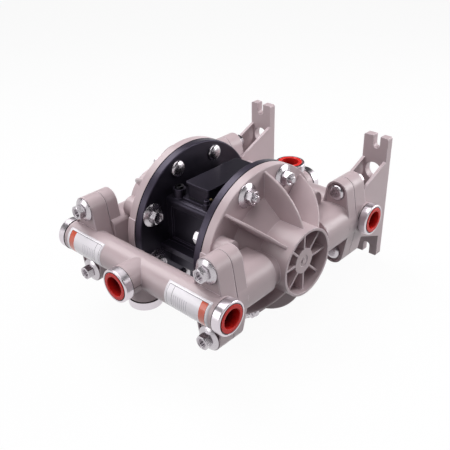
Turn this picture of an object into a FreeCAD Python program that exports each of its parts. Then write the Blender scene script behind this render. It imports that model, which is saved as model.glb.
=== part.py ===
import FreeCAD, Part
import math
import os

import Sketcher

# Air operated double diaphragm pump, half inch ports, lying on the rims of its round caps.
# X is the diaphragm rod axis, -Y is the outlet side and +Y is the inlet side with the feet.
# Every sub-part is drawn about the middle of the rod, then lifted to stand on Z = 0.

DIMENSIONS = {
    # Round caps about the rod axis
    "disc_radius": 83.0,
    "body_half_width": 37.0,
    "air_cap_thickness": 8.5,
    "rim_thickness": 10.0,
    "rim_edge_round": 1.0,
    "rim_swell": 1.0,
    "rim_swell_half_height": 24.0,
    "cone_inset": 31.0,
    "cone_height": 20.5,
    "hub_radius": 35.0,
    "hub_height": 53.5,
    "cap_wall": 4.0,
    "cavity_height": 25.5,
    "cavity_end_radius": 26.0,
    "hub_wall": 2.6,
    "hub_recess_depth": 24.0,
    "hub_disc_radius": 13.0,
    "hub_disc_sunk": 4.5,
    "hub_dimple_radius": 6.0,
    "hub_dimple_depth": 0.6,
    "spoke_count": 8.0,
    "spoke_thickness": 2.0,
    "pip_radius": 2.6,
    "pip_height": 0.9,
    # Ribs of the fluid caps
    "rib_count": 8.0,
    "rib_thickness": 3.0,
    "rib_foot_inset": 3.4,
    "rib_crest_height": 31.5,
    "rib_crest_share": 0.69,
    "rib_round": 72.0,
    "rib_edge_round": 1.1,
    "rib_tip_sunk": 1.0,
    "rib_tip_setback": 6.0,
    # Bolts through the round caps
    "bolt_inset": 13.0,
    "bolt_count": 8.0,
    "bolt_radius": 4.0,
    "bolt_clearance": 0.25,
    "first_bolt_angle": 22.5,
    "boss_rim_gap": 1.4,
    "boss_height": 15.0,
    "boss_floor": 6.0,
    "boss_edge_round": 1.6,
    "bolt_head_flats": 13.0,
    "bolt_head_height": 7.0,
    "nut_flats": 13.0,
    "nut_height": 7.2,
    "thread_proud": 8.0,
    "washer_radius": 11.2,
    "washer_height": 3.2,
    "washer_top_radius": 7.8,
    # Necks and bolted joints between caps and manifolds
    "neck_half_height": 21.0,
    "neck_round": 17.0,
    "neck_inner_round": 5.0,
    "neck_gap": 8.5,
    "neck_setback": 5.6,
    "neck_start": 42.0,
    "neck_root_half_height": 15.0,
    "neck_root_round": 14.0,
    "valve_rise": 29.0,
    "flange_standoff": 10.0,
    "cap_flange_thickness": 13.0,
    "cap_flange_recess": 2.5,
    "manifold_flange_thickness": 18.8,
    "manifold_flange_recess": 1.5,
    "recess_border": 1.7,
    "joint_gap": 0.8,
    "joint_land_inset": 1.4,
    "lug_offset": 35.5,
    "lug_radius": 12.8,
    "flange_middle_radius": 19.2,
    "carriage_head_radius": 8.7,
    "carriage_head_height": 4.6,
    "carriage_head_round": 4.3,
    "flange_nut_height": 7.0,
    "flange_thread_inset": 1.6,
    "flange_washer_radius": 10.8,
    # Check valves
    "valve_bore_radius": 10.5,
    "duct_radius": 9.0,
    "duct_offset": 37.0,
    "duct_end_height": 12.5,
    "ball_radius": 9.0,
    "ball_gap": 0.3,
    "seat_radius": 13.0,
    "seat_clearance": 0.1,
    "seat_bore_radius": 7.6,
    "seat_thickness": 5.0,
    "seal_thickness": 2.0,
    "seal_ring_radius": 11.6,
    # Manifold pipes and ports
    "pipe_setback": 19.0,
    "pipe_radius": 16.2,
    "pipe_bore_radius": 9.0,
    "branch_radius": 16.0,
    "branch_bore_radius": 8.6,
    "branch_reach": 35.0,
    "port_bore_radius": 10.6,
    "port_depth": 16.0,
    "band_radius": 16.75,
    "band_length": 8.6,
    "band_gap": 0.2,
    "band_round": 1.2,
    "spigot_radius": 14.5,
    "spigot_setback": 1.5,
    "band_clearance": 0.1,
    "plug_radius": 13.7,
    "plug_edge_round": 0.6,
    "plug_proud": 0.5,
    "plug_wall": 0.8,
    "plug_depth": 13.0,
    "plug_floor": 1.5,
    "plug_clearance": 0.1,
    # Feet of the inlet manifold
    "foot_standoff": 45.0,
    "foot_thickness": 9.0,
    "foot_inner_reach": 18.5,
    "foot_outer_reach": 11.0,
    "foot_lift": 10.0,
    "foot_corner": 2.0,
    "slot_width": 8.6,
    "slot_depth": 14.0,
    "slot_shift": 2.8,
    "foot_hole_radius": 9.8,
    "foot_hole_height": 32.5,
    "foot_hole_shift": 3.8,
    "gusset_thickness": 3.5,
    "gusset_inset": 27.0,
    "gusset_root_height": 24.0,
    "gusset_overlap": 7.0,
    # Centre body
    "body_half_depth": 45.0,
    "body_half_height": 40.0,
    "body_round": 5.0,
    "panel_margin": 7.0,
    "panel_top_margin": 9.0,
    "panel_bottom": -6.0,
    "panel_depth": 2.5,
    "ledge_proud": 11.0,
    "ledge_top": -10.0,
    "ledge_bottom": -16.0,
    "well_radius": 26.5,
    "well_depth": 9.0,
    "bushing_radius": 11.0,
    "bushing_length": 12.0,
    "post_radius": 6.5,
    "post_inset": 10.0,
    "post_height": 9.5,
    "screw_head_radius": 4.6,
    "screw_head_height": 2.5,
    "screw_radius": 2.0,
    "screw_hex_flats": 4.0,
    "screw_length": 16.0,
    "air_boss_radius": 13.0,
    "air_boss_height": 5.0,
    "air_inlet_radius": 5.6,
    "air_exhaust_radius": 7.3,
    "air_port_offset": 21.0,
    "air_port_depth": 14.0,
    # Air valve
    "saddle_height": 3.5,
    "saddle_margin": 4.0,
    "block_half_width": 15.0,
    "block_front_inset": 9.0,
    "block_back_inset": 7.0,
    "block_round": 3.0,
    "block_height": 18.0,
    "gasket_thickness": 0.8,
    "cover_thickness": 2.4,
    "cover_overhang": 1.0,
    "spool_radius": 4.6,
    "spool_waist_radius": 2.8,
    "spool_land": 7.0,
    "spool_half_length": 21.0,
    "spool_travel": 4.5,
    "spool_play": 0.05,
    "end_plug_radius": 5.6,
    "end_plug_length": 5.0,
    # Rod, pilot and diaphragms
    "rod_radius": 8.0,
    "rod_play": 0.05,
    "rod_bore_relief": 0.5,
    "rod_thread_radius": 5.0,
    "rod_thread_proud": 1.3,
    "rod_travel": 6.0,
    "pilot_radius": 3.0,
    "pilot_drop": 18.0,
    "pilot_gap": 0.3,
    "pilot_travel": 3.0,
    "diaphragm_thickness": 3.0,
    "diaphragm_inset": 8.2,
    "diaphragm_clearance": 0.2,
    "diaphragm_clamped": 6.8,
    "diaphragm_roll_inner": 26.0,
    "diaphragm_roll_height": 8.5,
    "diaphragm_bend": 5.0,
    "air_recess_depth": 3.0,
    "inner_washer_radius": 22.0,
    "inner_washer_thickness": 4.0,
    "outer_washer_radius": 21.0,
    "outer_washer_thickness": 5.0,
    "rod_nut_flats": 17.0,
    "rod_nut_height": 6.5,
}


class Size:
    """A length or angle, held both as a number and as the sheet expression that gives it."""

    def __init__(self, value, text):
        self.value = float(value)
        self.text = text

    def __add__(self, other):
        other = as_size(other)
        return Size(self.value + other.value, f"({self.text} + {other.text})")

    def __sub__(self, other):
        other = as_size(other)
        return Size(self.value - other.value, f"({self.text} - {other.text})")

    def __mul__(self, other):
        other = as_size(other)
        return Size(self.value * other.value, f"({self.text} * {other.text})")

    def __truediv__(self, other):
        other = as_size(other)
        return Size(self.value / other.value, f"({self.text} / {other.text})")

    def __neg__(self):
        return Size(-self.value, f"(0 - {self.text})")

    def __rsub__(self, other):
        return as_size(other) - self

    __radd__ = __add__
    __rmul__ = __mul__


def as_size(value):
    return value if isinstance(value, Size) else Size(value, f"({float(value)})")


def root(value):
    return Size(math.sqrt(value.value), f"sqrt({value.text})")


def cosine(angle):
    return Size(math.cos(math.radians(angle.value)), f"cos({angle.text})")


def sine(angle):
    return Size(math.sin(math.radians(angle.value)), f"sin({angle.text})")


def arcsine(ratio):
    """The angle in degrees that has a sine."""
    return Size(math.degrees(math.asin(ratio.value)), f"(asin({ratio.text}) / 1 deg)")


class Sizes:
    """The driving dimensions, each kept in a named cell of the document's sheet."""

    def __init__(self, document, dimensions):
        sheet = document.addObject("Spreadsheet::Sheet", "Sizes")
        for row, (name, value) in enumerate(dimensions.items(), start=1):
            sheet.set(f"A{row}", name)
            sheet.set(f"B{row}", str(value))
            sheet.setAlias(f"B{row}", name)
            setattr(self, name, Size(value, f"Sizes.{name}"))
        self.derive_across()
        self.derive_round()
        self.derive_body()

    def derive_across(self):
        """Places along the rod axis, out from the middle of the pump."""
        self.joint_face = self.body_half_width + self.air_cap_thickness
        self.rim_face = self.joint_face + self.rim_thickness
        self.hub_face = self.rim_face + self.hub_height
        self.neck_inner = self.rim_face + self.neck_gap
        self.valve_offset = self.rim_face + self.valve_rise
        self.port_reach = (
            self.valve_offset + self.flange_middle_radius + self.band_gap + self.band_length
        )
        self.foot_inner = self.valve_offset - self.foot_inner_reach
        self.foot_outer = self.valve_offset + self.foot_outer_reach
        self.slot_place = self.valve_offset - self.slot_shift
        self.foot_hole_place = self.valve_offset - self.foot_hole_shift

    def derive_round(self):
        """Radii of the round caps, and the joints, pipes and feet outside them."""
        self.bolt_circle = self.disc_radius - self.bolt_inset
        self.boss_radius = self.bolt_inset - self.rim_edge_round - self.boss_rim_gap
        self.cone_radius = self.disc_radius - self.cone_inset
        self.rib_foot_radius = self.disc_radius - self.rib_foot_inset
        reach = self.disc_radius - self.hub_radius
        self.rib_crest_radius = self.hub_radius + self.rib_crest_share * reach
        self.diaphragm_radius = self.bolt_circle - self.diaphragm_inset
        self.diaphragm_roll_outer = self.diaphragm_radius - self.diaphragm_clamped
        self.flange_joint = self.disc_radius + self.flange_standoff
        self.pipe_offset = self.flange_joint + self.pipe_setback
        self.foot_front = self.pipe_offset + self.foot_standoff
        self.foot_half_height = self.disc_radius - self.foot_lift
        self.slot_floor = self.foot_half_height - self.slot_depth
        self.gusset_foot_height = self.foot_half_height - self.gusset_inset
        self.gusset_root = self.pipe_offset - self.gusset_overlap

    def derive_body(self):
        """What stands on the centre body or is cut into it."""
        self.panel_half_width = self.body_half_width - self.panel_margin
        self.panel_top = self.body_half_height - self.panel_top_margin
        self.ledge_reach = self.body_half_depth + self.ledge_proud
        self.post_place_x = self.body_half_width - self.post_inset
        self.post_place_y = self.body_half_depth - self.post_inset
        self.post_top = self.body_half_height + self.post_height
        self.block_front = self.body_half_depth - self.block_front_inset
        self.block_back = self.body_half_depth - self.block_back_inset
        self.block_top = self.body_half_height + self.block_height
        self.saddle_top = self.body_half_height + self.saddle_height


def bind(target, prop, value):
    target.setExpression(prop, as_size(value).text)


# Sketch shapes: each returns a function that draws the shape, driven by the sheet

def constrain(sketch, value, *constraint):
    index = sketch.addConstraint(Sketcher.Constraint(*constraint, as_size(value).value))
    name = f"size_{index}"
    sketch.renameConstraint(index, name)
    bind(sketch, f"Constraints.{name}", value)


def pin_point(sketch, geometry, end, across, up):
    """Holds one point of a geometry at a place measured from the sketch's origin."""
    for kind, axis, value in (("DistanceX", -2, across), ("DistanceY", -1, up)):
        if isinstance(value, Size):
            constrain(sketch, value, kind, -1, 1, geometry, end)
        elif value == 0:
            sketch.addConstraint(Sketcher.Constraint("PointOnObject", geometry, end, axis))
        else:
            sketch.addConstraint(Sketcher.Constraint(kind, -1, 1, geometry, end, float(value)))


def vector(across, up):
    return FreeCAD.Vector(as_size(across).value, as_size(up).value, 0)


def circle_at(centre, radius):
    return Part.Circle(centre, FreeCAD.Vector(0, 0, 1), radius)


def disc(radius, across=0, up=0):
    """A full circle."""
    def draw(sketch):
        geometry = sketch.addGeometry(circle_at(vector(across, up), as_size(radius).value))
        pin_point(sketch, geometry, 3, across, up)
        constrain(sketch, radius, "Radius", geometry)
    return draw


def belt(*circles):
    """The outline of a belt pulled round circles (across, up, radius), in anticlockwise order."""
    def draw(sketch):
        centres = [vector(across, up) for across, up, _ in circles]
        radii = [as_size(radius).value for _, _, radius in circles]
        count = len(circles)
        angles = []
        for i in range(count):
            j = (i + 1) % count
            run = centres[j] - centres[i]
            lean = math.asin((radii[j] - radii[i]) / run.Length)
            angles.append(math.atan2(run.y, run.x) - math.pi / 2 - lean)
        arcs = []
        for i in range(count):
            start, end = angles[i - 1], angles[i]
            while end < start:
                end += 2 * math.pi
            arc = Part.ArcOfCircle(circle_at(centres[i], radii[i]), start, end)
            arcs.append(sketch.addGeometry(arc))
        for i in range(count):
            j = (i + 1) % count
            out = FreeCAD.Vector(math.cos(angles[i]), math.sin(angles[i]), 0)
            line = sketch.addGeometry(
                Part.LineSegment(centres[i] + out * radii[i], centres[j] + out * radii[j])
            )
            sketch.addConstraint(Sketcher.Constraint("Tangent", arcs[i], 2, line, 1))
            sketch.addConstraint(Sketcher.Constraint("Tangent", line, 2, arcs[j], 1))
        for arc, (across, up, radius) in zip(arcs, circles):
            pin_point(sketch, arc, 3, across, up)
            constrain(sketch, radius, "Radius", arc)
    return draw


def rounded_box(left, right, bottom, top, radius):
    """A rectangle with four round corners."""
    return belt(
        (left + radius, bottom + radius, radius),
        (right - radius, bottom + radius, radius),
        (right - radius, top - radius, radius),
        (left + radius, top - radius, radius),
    )


def polygon(*corners):
    """Straight sides through corners (across, up), anticlockwise; a third value rounds a corner."""
    def draw(sketch):
        points = [vector(corner[0], corner[1]) for corner in corners]
        count = len(corners)
        leave, enter = [], []
        for i, corner in enumerate(corners):
            inward = (points[i] - points[i - 1]).normalize()
            outward = (points[(i + 1) % count] - points[i]).normalize()
            radius = as_size(corner[2]).value if len(corner) > 2 else 0
            trim = radius * math.tan(inward.getAngle(outward) / 2)
            leave.append(points[i] - inward * trim)
            enter.append(points[i] + outward * trim)
        sides = []
        for i in range(count):
            side = Part.LineSegment(enter[i], leave[(i + 1) % count])
            sides.append(sketch.addGeometry(side))
        for i, corner in enumerate(corners):
            before, after = sides[i - 1], sides[i]
            if len(corner) == 2:
                sketch.addConstraint(Sketcher.Constraint("Coincident", before, 2, after, 1))
                pin_point(sketch, after, 1, *corner)
                continue
            inward = points[i] - leave[i]
            outward = enter[i] - points[i]
            left_turn = inward.cross(outward).z > 0
            centre = arc_centre(leave[i], inward, as_size(corner[2]).value, left_turn)
            first, last = (leave[i], enter[i]) if left_turn else (enter[i], leave[i])
            start = math.atan2(first.y - centre.y, first.x - centre.x)
            end = math.atan2(last.y - centre.y, last.x - centre.x)
            while end < start:
                end += 2 * math.pi
            circle = circle_at(centre, as_size(corner[2]).value)
            arc = sketch.addGeometry(Part.ArcOfCircle(circle, start, end))
            near, far = (1, 2) if left_turn else (2, 1)
            sketch.addConstraint(Sketcher.Constraint("Tangent", before, 2, arc, near))
            sketch.addConstraint(Sketcher.Constraint("Tangent", arc, far, after, 1))
            constrain(sketch, corner[2], "Radius", arc)
            point = sketch.addGeometry(Part.Point(points[i]), True)
            pin_point(sketch, point, 1, corner[0], corner[1])
            sketch.addConstraint(Sketcher.Constraint("PointOnObject", point, 1, before))
            sketch.addConstraint(Sketcher.Constraint("PointOnObject", point, 1, after))
    return draw


def arc_centre(point, direction, radius, left_turn):
    """Centre of the arc that leaves a point along a direction and turns left or right."""
    ahead = FreeCAD.Vector(direction).normalize()
    side = FreeCAD.Vector(-ahead.y, ahead.x, 0)
    return point + side * (radius if left_turn else -radius)


def hexagon(flats, across=0, up=0):
    """A regular hexagon with its points up and down."""
    half = flats / 2
    corner = flats / math.sqrt(3)
    return polygon(
        (across + half, up - corner / 2),
        (across + half, up + corner / 2),
        (across, up + corner),
        (across - half, up + corner / 2),
        (across - half, up - corner / 2),
        (across, up - corner),
    )


# Features

def origin_part(body, role):
    return next(item for item in body.Origin.OriginFeatures if item.Role == role)


def new_sketch(body, name, plane, distance, shapes):
    sketch = body.newObject("Sketcher::SketchObject", f"{body.Name}_{name}_sketch")
    sketch.AttachmentSupport = [(origin_part(body, f"{plane}_Plane"), "")]
    sketch.MapMode = "FlatFace"
    bind(sketch, "AttachmentOffset.Base.z", distance)
    for draw in shapes:
        draw(sketch)
    return sketch


def extrude(body, kind, name, plane, start, end, shapes):
    """Pad or Pocket between two distances along the plane's normal."""
    start, end = as_size(start), as_size(end)
    sketch = new_sketch(body, name, plane, start, shapes)
    feature = body.newObject(f"PartDesign::{kind}", f"{body.Name}_{name}")
    feature.Profile = sketch
    forward = end.value > start.value
    feature.Reversed = forward if kind == "Pocket" else not forward
    bind(feature, "Length", end - start if forward else start - end)
    return feature


def pad(body, name, plane, start, end, *shapes):
    return extrude(body, "Pad", name, plane, start, end, shapes)


def pocket(body, name, plane, start, end, *shapes):
    return extrude(body, "Pocket", name, plane, start, end, shapes)


def cone(body, name, plane, start, start_radius, end, end_radius, across, up):
    """A solid cone frustum between two distances along the plane's normal."""
    feature = body.newObject("PartDesign::AdditiveCone", f"{body.Name}_{name}")
    feature.AttachmentSupport = [(origin_part(body, f"{plane}_Plane"), "")]
    feature.MapMode = "FlatFace"
    bind(feature, "AttachmentOffset.Base.x", across)
    bind(feature, "AttachmentOffset.Base.y", up)
    bind(feature, "AttachmentOffset.Base.z", start)
    bind(feature, "Radius1", start_radius)
    bind(feature, "Radius2", end_radius)
    bind(feature, "Height", end - start)
    return feature


def turned(body, kind, name, axis, shape):
    sketch = new_sketch(body, name, "XY", 0, [shape])
    feature = body.newObject(f"PartDesign::{kind}", f"{body.Name}_{name}")
    feature.Profile = sketch
    feature.ReferenceAxis = (sketch, [f"{axis}_Axis"])
    feature.Angle = 360
    return feature


def part_turn(body, name, shape, angle):
    """A shape turned about the X axis through an angle, half of it to each side."""
    feature = revolve(body, name, shape)
    feature.Midplane = True
    bind(feature, "Angle", angle)
    return feature


def revolve(body, name, shape, axis="H"):
    return turned(body, "Revolution", name, axis, shape)


def groove(body, name, shape, axis="H"):
    return turned(body, "Groove", name, axis, shape)


def repeat_round_x(body, name, feature, count):
    """Repeats a feature evenly round the X axis."""
    pattern = body.newObject("PartDesign::PolarPattern", f"{body.Name}_{name}")
    pattern.Originals = [feature]
    pattern.Axis = (origin_part(body, "X_Axis"), [""])
    pattern.Angle = 360
    bind(pattern, "Occurrences", count)
    body.Tip = pattern
    return pattern


def round_edges(body, name, radius, chosen):
    """Rounds the edges of the body so far that the chosen test picks out."""
    body.Document.recompute()
    base = body.Tip
    edges = [f"Edge{n}" for n, edge in enumerate(base.Shape.Edges, start=1) if chosen(edge)]
    feature = body.newObject("PartDesign::Fillet", f"{body.Name}_{name}")
    feature.Base = (base, edges)
    bind(feature, "Radius", radius)
    return feature


def is_arc(edge, radius):
    """Whether an edge is a circle, or part of one, of a radius."""
    curve = edge.Curve
    return isinstance(curve, Part.Circle) and abs(curve.Radius - as_size(radius).value) < 1e-3


def is_circle(edge, radius, plane_axis, distance):
    """Whether an edge is such a circle whose centre is at a distance along an axis."""
    if not is_arc(edge, radius):
        return False
    return abs(getattr(edge.Curve.Center, plane_axis) - as_size(distance).value) < 1e-3


class Pump:
    """The document, its sizes and the sub-parts that make the pump."""

    def __init__(self):
        self.document = FreeCAD.newDocument("diaphragm_pump")
        self.size = Sizes(self.document, DIMENSIONS)
        self.parts = []

    def place(self, item, across=0, along=0, up=0):
        size = self.size
        front = size.pipe_offset + size.branch_reach + size.plug_proud
        back = size.foot_front + size.foot_thickness
        bind(item, "Placement.Base.x", across)
        bind(item, "Placement.Base.y", (front - back) / 2 + along)
        bind(item, "Placement.Base.z", size.disc_radius + up)

    def body(self, label, turned_over=False, across=0, along=0, up=0):
        """A new body; turned over, its outlet side becomes the inlet side."""
        body = self.document.addObject("PartDesign::Body", label)
        body.Label = label
        if turned_over:
            rotation = FreeCAD.Rotation(FreeCAD.Vector(1, 0, 0), 180)
            body.Placement = FreeCAD.Placement(FreeCAD.Vector(), rotation)
        self.place(body, across, along, up)
        self.parts.append(body)
        return body

    def mirrored(self, label, source):
        """The same piece on the other side of the pump, mirrored in the plane X = 0."""
        copy = self.document.addObject("Part::Mirroring", label)
        copy.Label = label
        copy.Source = source
        copy.Normal = FreeCAD.Vector(1, 0, 0)
        self.parts.append(copy)
        return copy

    def bolt_places(self, beside_necks):
        """Bolts of a round cap as (y, z): those beside the necks, or the others."""
        size = self.size
        step = as_size(360) / size.bolt_count
        places = []
        for turn in range(int(size.bolt_count.value)):
            angle = size.first_bolt_angle + turn * step
            along, up = size.bolt_circle * cosine(angle), size.bolt_circle * sine(angle)
            if (abs(up.value) < size.lug_offset.value) == beside_necks:
                places.append((along, up))
        return places

    def first_bolt(self):
        size = self.size
        along = size.bolt_circle * cosine(size.first_bolt_angle)
        return along, size.bolt_circle * sine(size.first_bolt_angle)

    def flange_bolt_places(self):
        """The four bolts of a manifold, as (x, z)."""
        size = self.size
        return [
            (side * size.valve_offset, level * size.lug_offset)
            for side in (1, -1)
            for level in (1, -1)
        ]


def make_air_cap(pump):
    """Black disc between the centre body and the fluid cap, with the air side of the chamber."""
    size = pump.size
    body = pump.body("air_cap_right")
    inner, outer = size.body_half_width, size.joint_face
    recess = outer - size.air_recess_depth
    revolve(body, "disc", polygon(
        (inner, size.well_radius),
        (recess, size.well_radius),
        (recess, size.diaphragm_roll_outer - size.air_recess_depth),
        (outer, size.diaphragm_roll_outer),
        (outer, size.disc_radius),
        (inner, size.disc_radius, size.rim_edge_round),
    ))
    hole = pocket(body, "bolt_hole", "YZ", outer, inner, disc(
        size.bolt_radius + size.bolt_clearance, *pump.first_bolt()
    ))
    repeat_round_x(body, "bolt_holes", hole, size.bolt_count)
    pump.mirrored("air_cap_left", body)


def flange_outline(size, side, inset=0):
    """Outline of one bolted joint, a lug above and below a wider middle, as seen along Y."""
    middle = side * size.valve_offset
    lug, waist = size.lug_radius - inset, size.flange_middle_radius - inset
    return belt(
        (middle, size.lug_offset, lug),
        (middle, 0, waist),
        (middle, -size.lug_offset, lug),
        (middle, 0, waist),
    )


def make_fluid_cap(pump):
    """Ribbed fluid cap with its spoked hub, the two necks and their bolted flanges."""
    size = pump.size
    body = pump.body("fluid_cap_right")
    joint, rim, hub = size.joint_face, size.rim_face, size.hub_face
    cone_top = rim + size.cone_height
    revolve(body, "shell", polygon(
        (joint, 0),
        (hub, 0),
        (hub, size.hub_radius),
        (cone_top, size.hub_radius),
        (rim, size.cone_radius),
        (rim, size.disc_radius, size.rim_edge_round),
        (joint, size.disc_radius),
    ))
    half_rim = joint + size.rim_thickness / 2
    rib_tip = hub - size.rib_tip_setback
    rib = pad(body, "rib", "XY", -size.rib_thickness / 2, size.rib_thickness / 2, polygon(
        (half_rim, size.hub_radius / 2),
        (rib_tip, size.hub_radius / 2),
        (rib_tip, size.hub_radius - size.rib_tip_sunk),
        (rim + size.rib_crest_height, size.rib_crest_radius, size.rib_round),
        (rim, size.rib_foot_radius),
        (half_rim, size.rib_foot_radius),
    ))
    repeat_round_x(body, "ribs", rib, size.rib_count)
    round_edges(body, "rib_rounds", size.rib_edge_round, lambda edge: (
        is_arc(edge, size.rib_round)
    ))
    make_rim_swells(pump, body)
    boss_end = rim + size.boss_height
    pad(body, "bosses", "YZ", half_rim, boss_end, *[
        disc(size.boss_radius, *place) for place in pump.bolt_places(beside_necks=True)
    ])
    round_edges(body, "boss_rounds", size.boss_edge_round, lambda edge: (
        is_circle(edge, size.boss_radius, "x", boss_end)
    ))
    neck_side = hub - size.neck_setback
    neck_end = size.flange_joint
    low = size.neck_root_half_height
    flange_back = neck_end - size.cap_flange_thickness
    for name, side in (("outlet", 1), ("inlet", -1)):
        pad(body, f"{name}_flange", "XZ", side * flange_back, side * neck_end,
            flange_outline(size, 1))
        pocket(body, f"{name}_flange_recess", "XZ", side * flange_back,
               side * (flange_back + size.cap_flange_recess),
               flange_outline(size, 1, size.recess_border))
    pad(body, "neck_root", "XZ", -neck_end, neck_end, polygon(
        (size.neck_inner, -low),
        (neck_side, -low, size.neck_root_round),
        (neck_side, low, size.neck_root_round),
        (size.neck_inner, low),
    ))
    for name, side in (("outlet", 1), ("inlet", -1)):
        pad(body, f"{name}_neck", "XZ", side * size.neck_start, side * neck_end, polygon(
            (size.neck_inner, -size.neck_half_height, size.neck_inner_round),
            (neck_side, -size.neck_half_height, size.neck_round),
            (neck_side, size.neck_half_height, size.neck_round),
            (size.neck_inner, size.neck_half_height, size.neck_inner_round),
        ))
        pocket(body, f"{name}_bolt_holes", "XZ", side * size.flange_joint, side * flange_back, *[
            disc(size.bolt_radius + size.bolt_clearance, size.valve_offset, level * size.lug_offset)
            for level in (1, -1)
        ])
        pocket(body, f"{name}_valve_bore", "XZ", side * size.flange_joint, side * size.duct_offset,
               disc(size.valve_bore_radius, size.valve_offset, 0))
    seat_pocket = size.seat_thickness + size.seal_thickness
    pocket(body, "seat_pocket", "XZ", size.flange_joint, size.flange_joint - seat_pocket,
           disc(size.seat_radius + size.seat_clearance, size.valve_offset, 0))
    pocket(body, "ducts", "YZ", size.valve_offset, rim + size.duct_end_height, *[
        disc(size.duct_radius, side * (size.duct_offset + size.duct_radius / 2), 0)
        for side in (1, -1)
    ])
    # The wet chamber follows the cone outside it
    slant = root(
        size.cone_height * size.cone_height
        + (size.cone_radius - size.hub_radius) * (size.cone_radius - size.hub_radius)
    )
    inward = size.cap_wall * (size.cone_radius - size.hub_radius) / slant
    down = size.cap_wall * size.cone_height / slant
    groove_floor = joint + size.diaphragm_thickness
    groove(body, "chamber", polygon(
        (size.body_half_width, 0),
        (rim + size.cavity_height, 0),
        (rim + size.cavity_height, size.cavity_end_radius),
        (cone_top - inward, size.hub_radius - down),
        (rim - inward, size.cone_radius - down),
        (groove_floor, size.diaphragm_roll_outer),
        (groove_floor, size.diaphragm_radius + size.diaphragm_clearance),
        (size.body_half_width, size.diaphragm_radius + size.diaphragm_clearance),
    ))
    make_hub_wheel(pump, body)
    hole_radius = size.bolt_radius + size.bolt_clearance
    for name, beside_necks, end in (
        ("rim", False, rim), ("boss", True, rim + size.boss_height - size.boss_floor)
    ):
        pocket(body, f"{name}_bolt_holes", "YZ", joint, end, *[
            disc(hole_radius, *place) for place in pump.bolt_places(beside_necks)
        ])
    pump.mirrored("fluid_cap_left", body)


def make_rim_swells(pump, body):
    """The rim is a little thicker outward where each neck passes over it."""
    size = pump.size
    joint, rim = size.joint_face, size.rim_face
    inside = size.disc_radius - size.rim_thickness / 2
    outside = size.disc_radius + size.rim_swell
    angle = 2 * arcsine(size.rim_swell_half_height / outside)
    part_turn(body, "inlet_rim_swell", polygon(
        (joint, inside),
        (rim, inside),
        (rim, outside, size.rim_edge_round),
        (joint, outside),
    ), angle)
    part_turn(body, "outlet_rim_swell", polygon(
        (joint, -outside),
        (rim, -outside, size.rim_edge_round),
        (rim, -inside),
        (joint, -inside),
    ), angle)


def make_hub_wheel(pump, body):
    """The open end of the hub: a sunk centre disc held by spokes inside the hub wall."""
    size = pump.size
    hub = size.hub_face
    inner_wall = size.hub_radius - size.hub_wall
    wheel = hub - size.hub_disc_sunk
    dimple = wheel - size.hub_dimple_depth
    pocket(body, "hub_mouth", "YZ", hub, wheel, disc(inner_wall))
    pocket(body, "hub_recess", "YZ", wheel, hub - size.hub_recess_depth,
           disc(inner_wall), disc(size.hub_disc_radius))
    half = size.spoke_thickness / 2
    spoke = pad(body, "spoke", "YZ", hub - size.hub_recess_depth, wheel, polygon(
        (size.hub_disc_radius - half, -half),
        (inner_wall + half, -half),
        (inner_wall + half, half),
        (size.hub_disc_radius - half, half),
    ))
    repeat_round_x(body, "spokes", spoke, size.spoke_count)
    pocket(body, "dimple", "YZ", wheel, dimple, disc(size.hub_dimple_radius))
    pad(body, "pip", "YZ", dimple, dimple + size.pip_height, disc(size.pip_radius))


def make_manifold(pump, label, turned_over, seats_here, with_feet):
    """A pipe with two bolted flanges and a tee; turned over for the inlet side."""
    size = pump.size
    body = pump.body(label, turned_over)
    axis = size.pipe_offset
    flange_end = size.flange_joint + size.manifold_flange_thickness
    land_end = size.flange_joint + size.joint_gap
    for name, side in (("right", 1), ("left", -1)):
        pad(body, f"{name}_flange", "XZ", land_end, flange_end, flange_outline(size, side))
        pad(body, f"{name}_land", "XZ", size.flange_joint, land_end,
            flange_outline(size, side, size.joint_land_inset))
        pocket(body, f"{name}_flange_recess", "XZ", flange_end,
               flange_end - size.manifold_flange_recess,
               flange_outline(size, side, size.recess_border))
    for name, pipe, branch, setback in (
        ("pipe", size.pipe_radius, size.branch_radius, size.band_length),
        ("spigot", size.spigot_radius, size.spigot_radius, size.spigot_setback),
    ):
        end = size.port_reach - setback
        pad(body, name, "YZ", -end, end, disc(pipe, -axis, 0))
        pad(body, f"{name}_front", "XZ", axis, axis + size.branch_reach - setback, disc(branch))
        pad(body, f"{name}_side", "XY", 0, setback - size.branch_reach, disc(branch, 0, -axis))
    if with_feet:
        make_feet(pump, body)
    pocket(body, "pipe_bore", "YZ", -size.port_reach, size.port_reach,
           disc(size.pipe_bore_radius, -axis, 0))
    branch_bore = size.branch_bore_radius
    pocket(body, "front_bore", "XZ", axis + size.branch_reach, axis, disc(branch_bore))
    pocket(body, "side_bore", "XY", -size.branch_reach, 0, disc(branch_bore, 0, -axis))
    for name, end in (("right", size.port_reach), ("left", -size.port_reach)):
        depth = size.port_depth if end.value > 0 else -size.port_depth
        pocket(body, f"{name}_port", "YZ", end, end - depth, disc(size.port_bore_radius, -axis, 0))
    mouth = axis + size.branch_reach
    pocket(body, "front_port", "XZ", mouth, mouth - size.port_depth, disc(size.port_bore_radius))
    pocket(body, "side_port", "XY", -size.branch_reach, size.port_depth - size.branch_reach,
           disc(size.port_bore_radius, 0, -axis))
    for name, side in (("right", 1), ("left", -1)):
        place = side * size.valve_offset
        pocket(body, f"{name}_valve_bore", "XZ", size.flange_joint, axis,
               disc(branch_bore if seats_here else size.valve_bore_radius, place, 0))
        if seats_here:
            depth = size.seat_thickness + size.seal_thickness
            pocket(body, f"{name}_seat_pocket", "XZ", size.flange_joint, size.flange_joint + depth,
                   disc(size.seat_radius + size.seat_clearance, place, 0))
    pocket(body, "bolt_holes", "XZ", size.flange_joint, flange_end, *[
        disc(size.bolt_radius + size.bolt_clearance, *place) for place in pump.flange_bolt_places()
    ])


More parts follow.
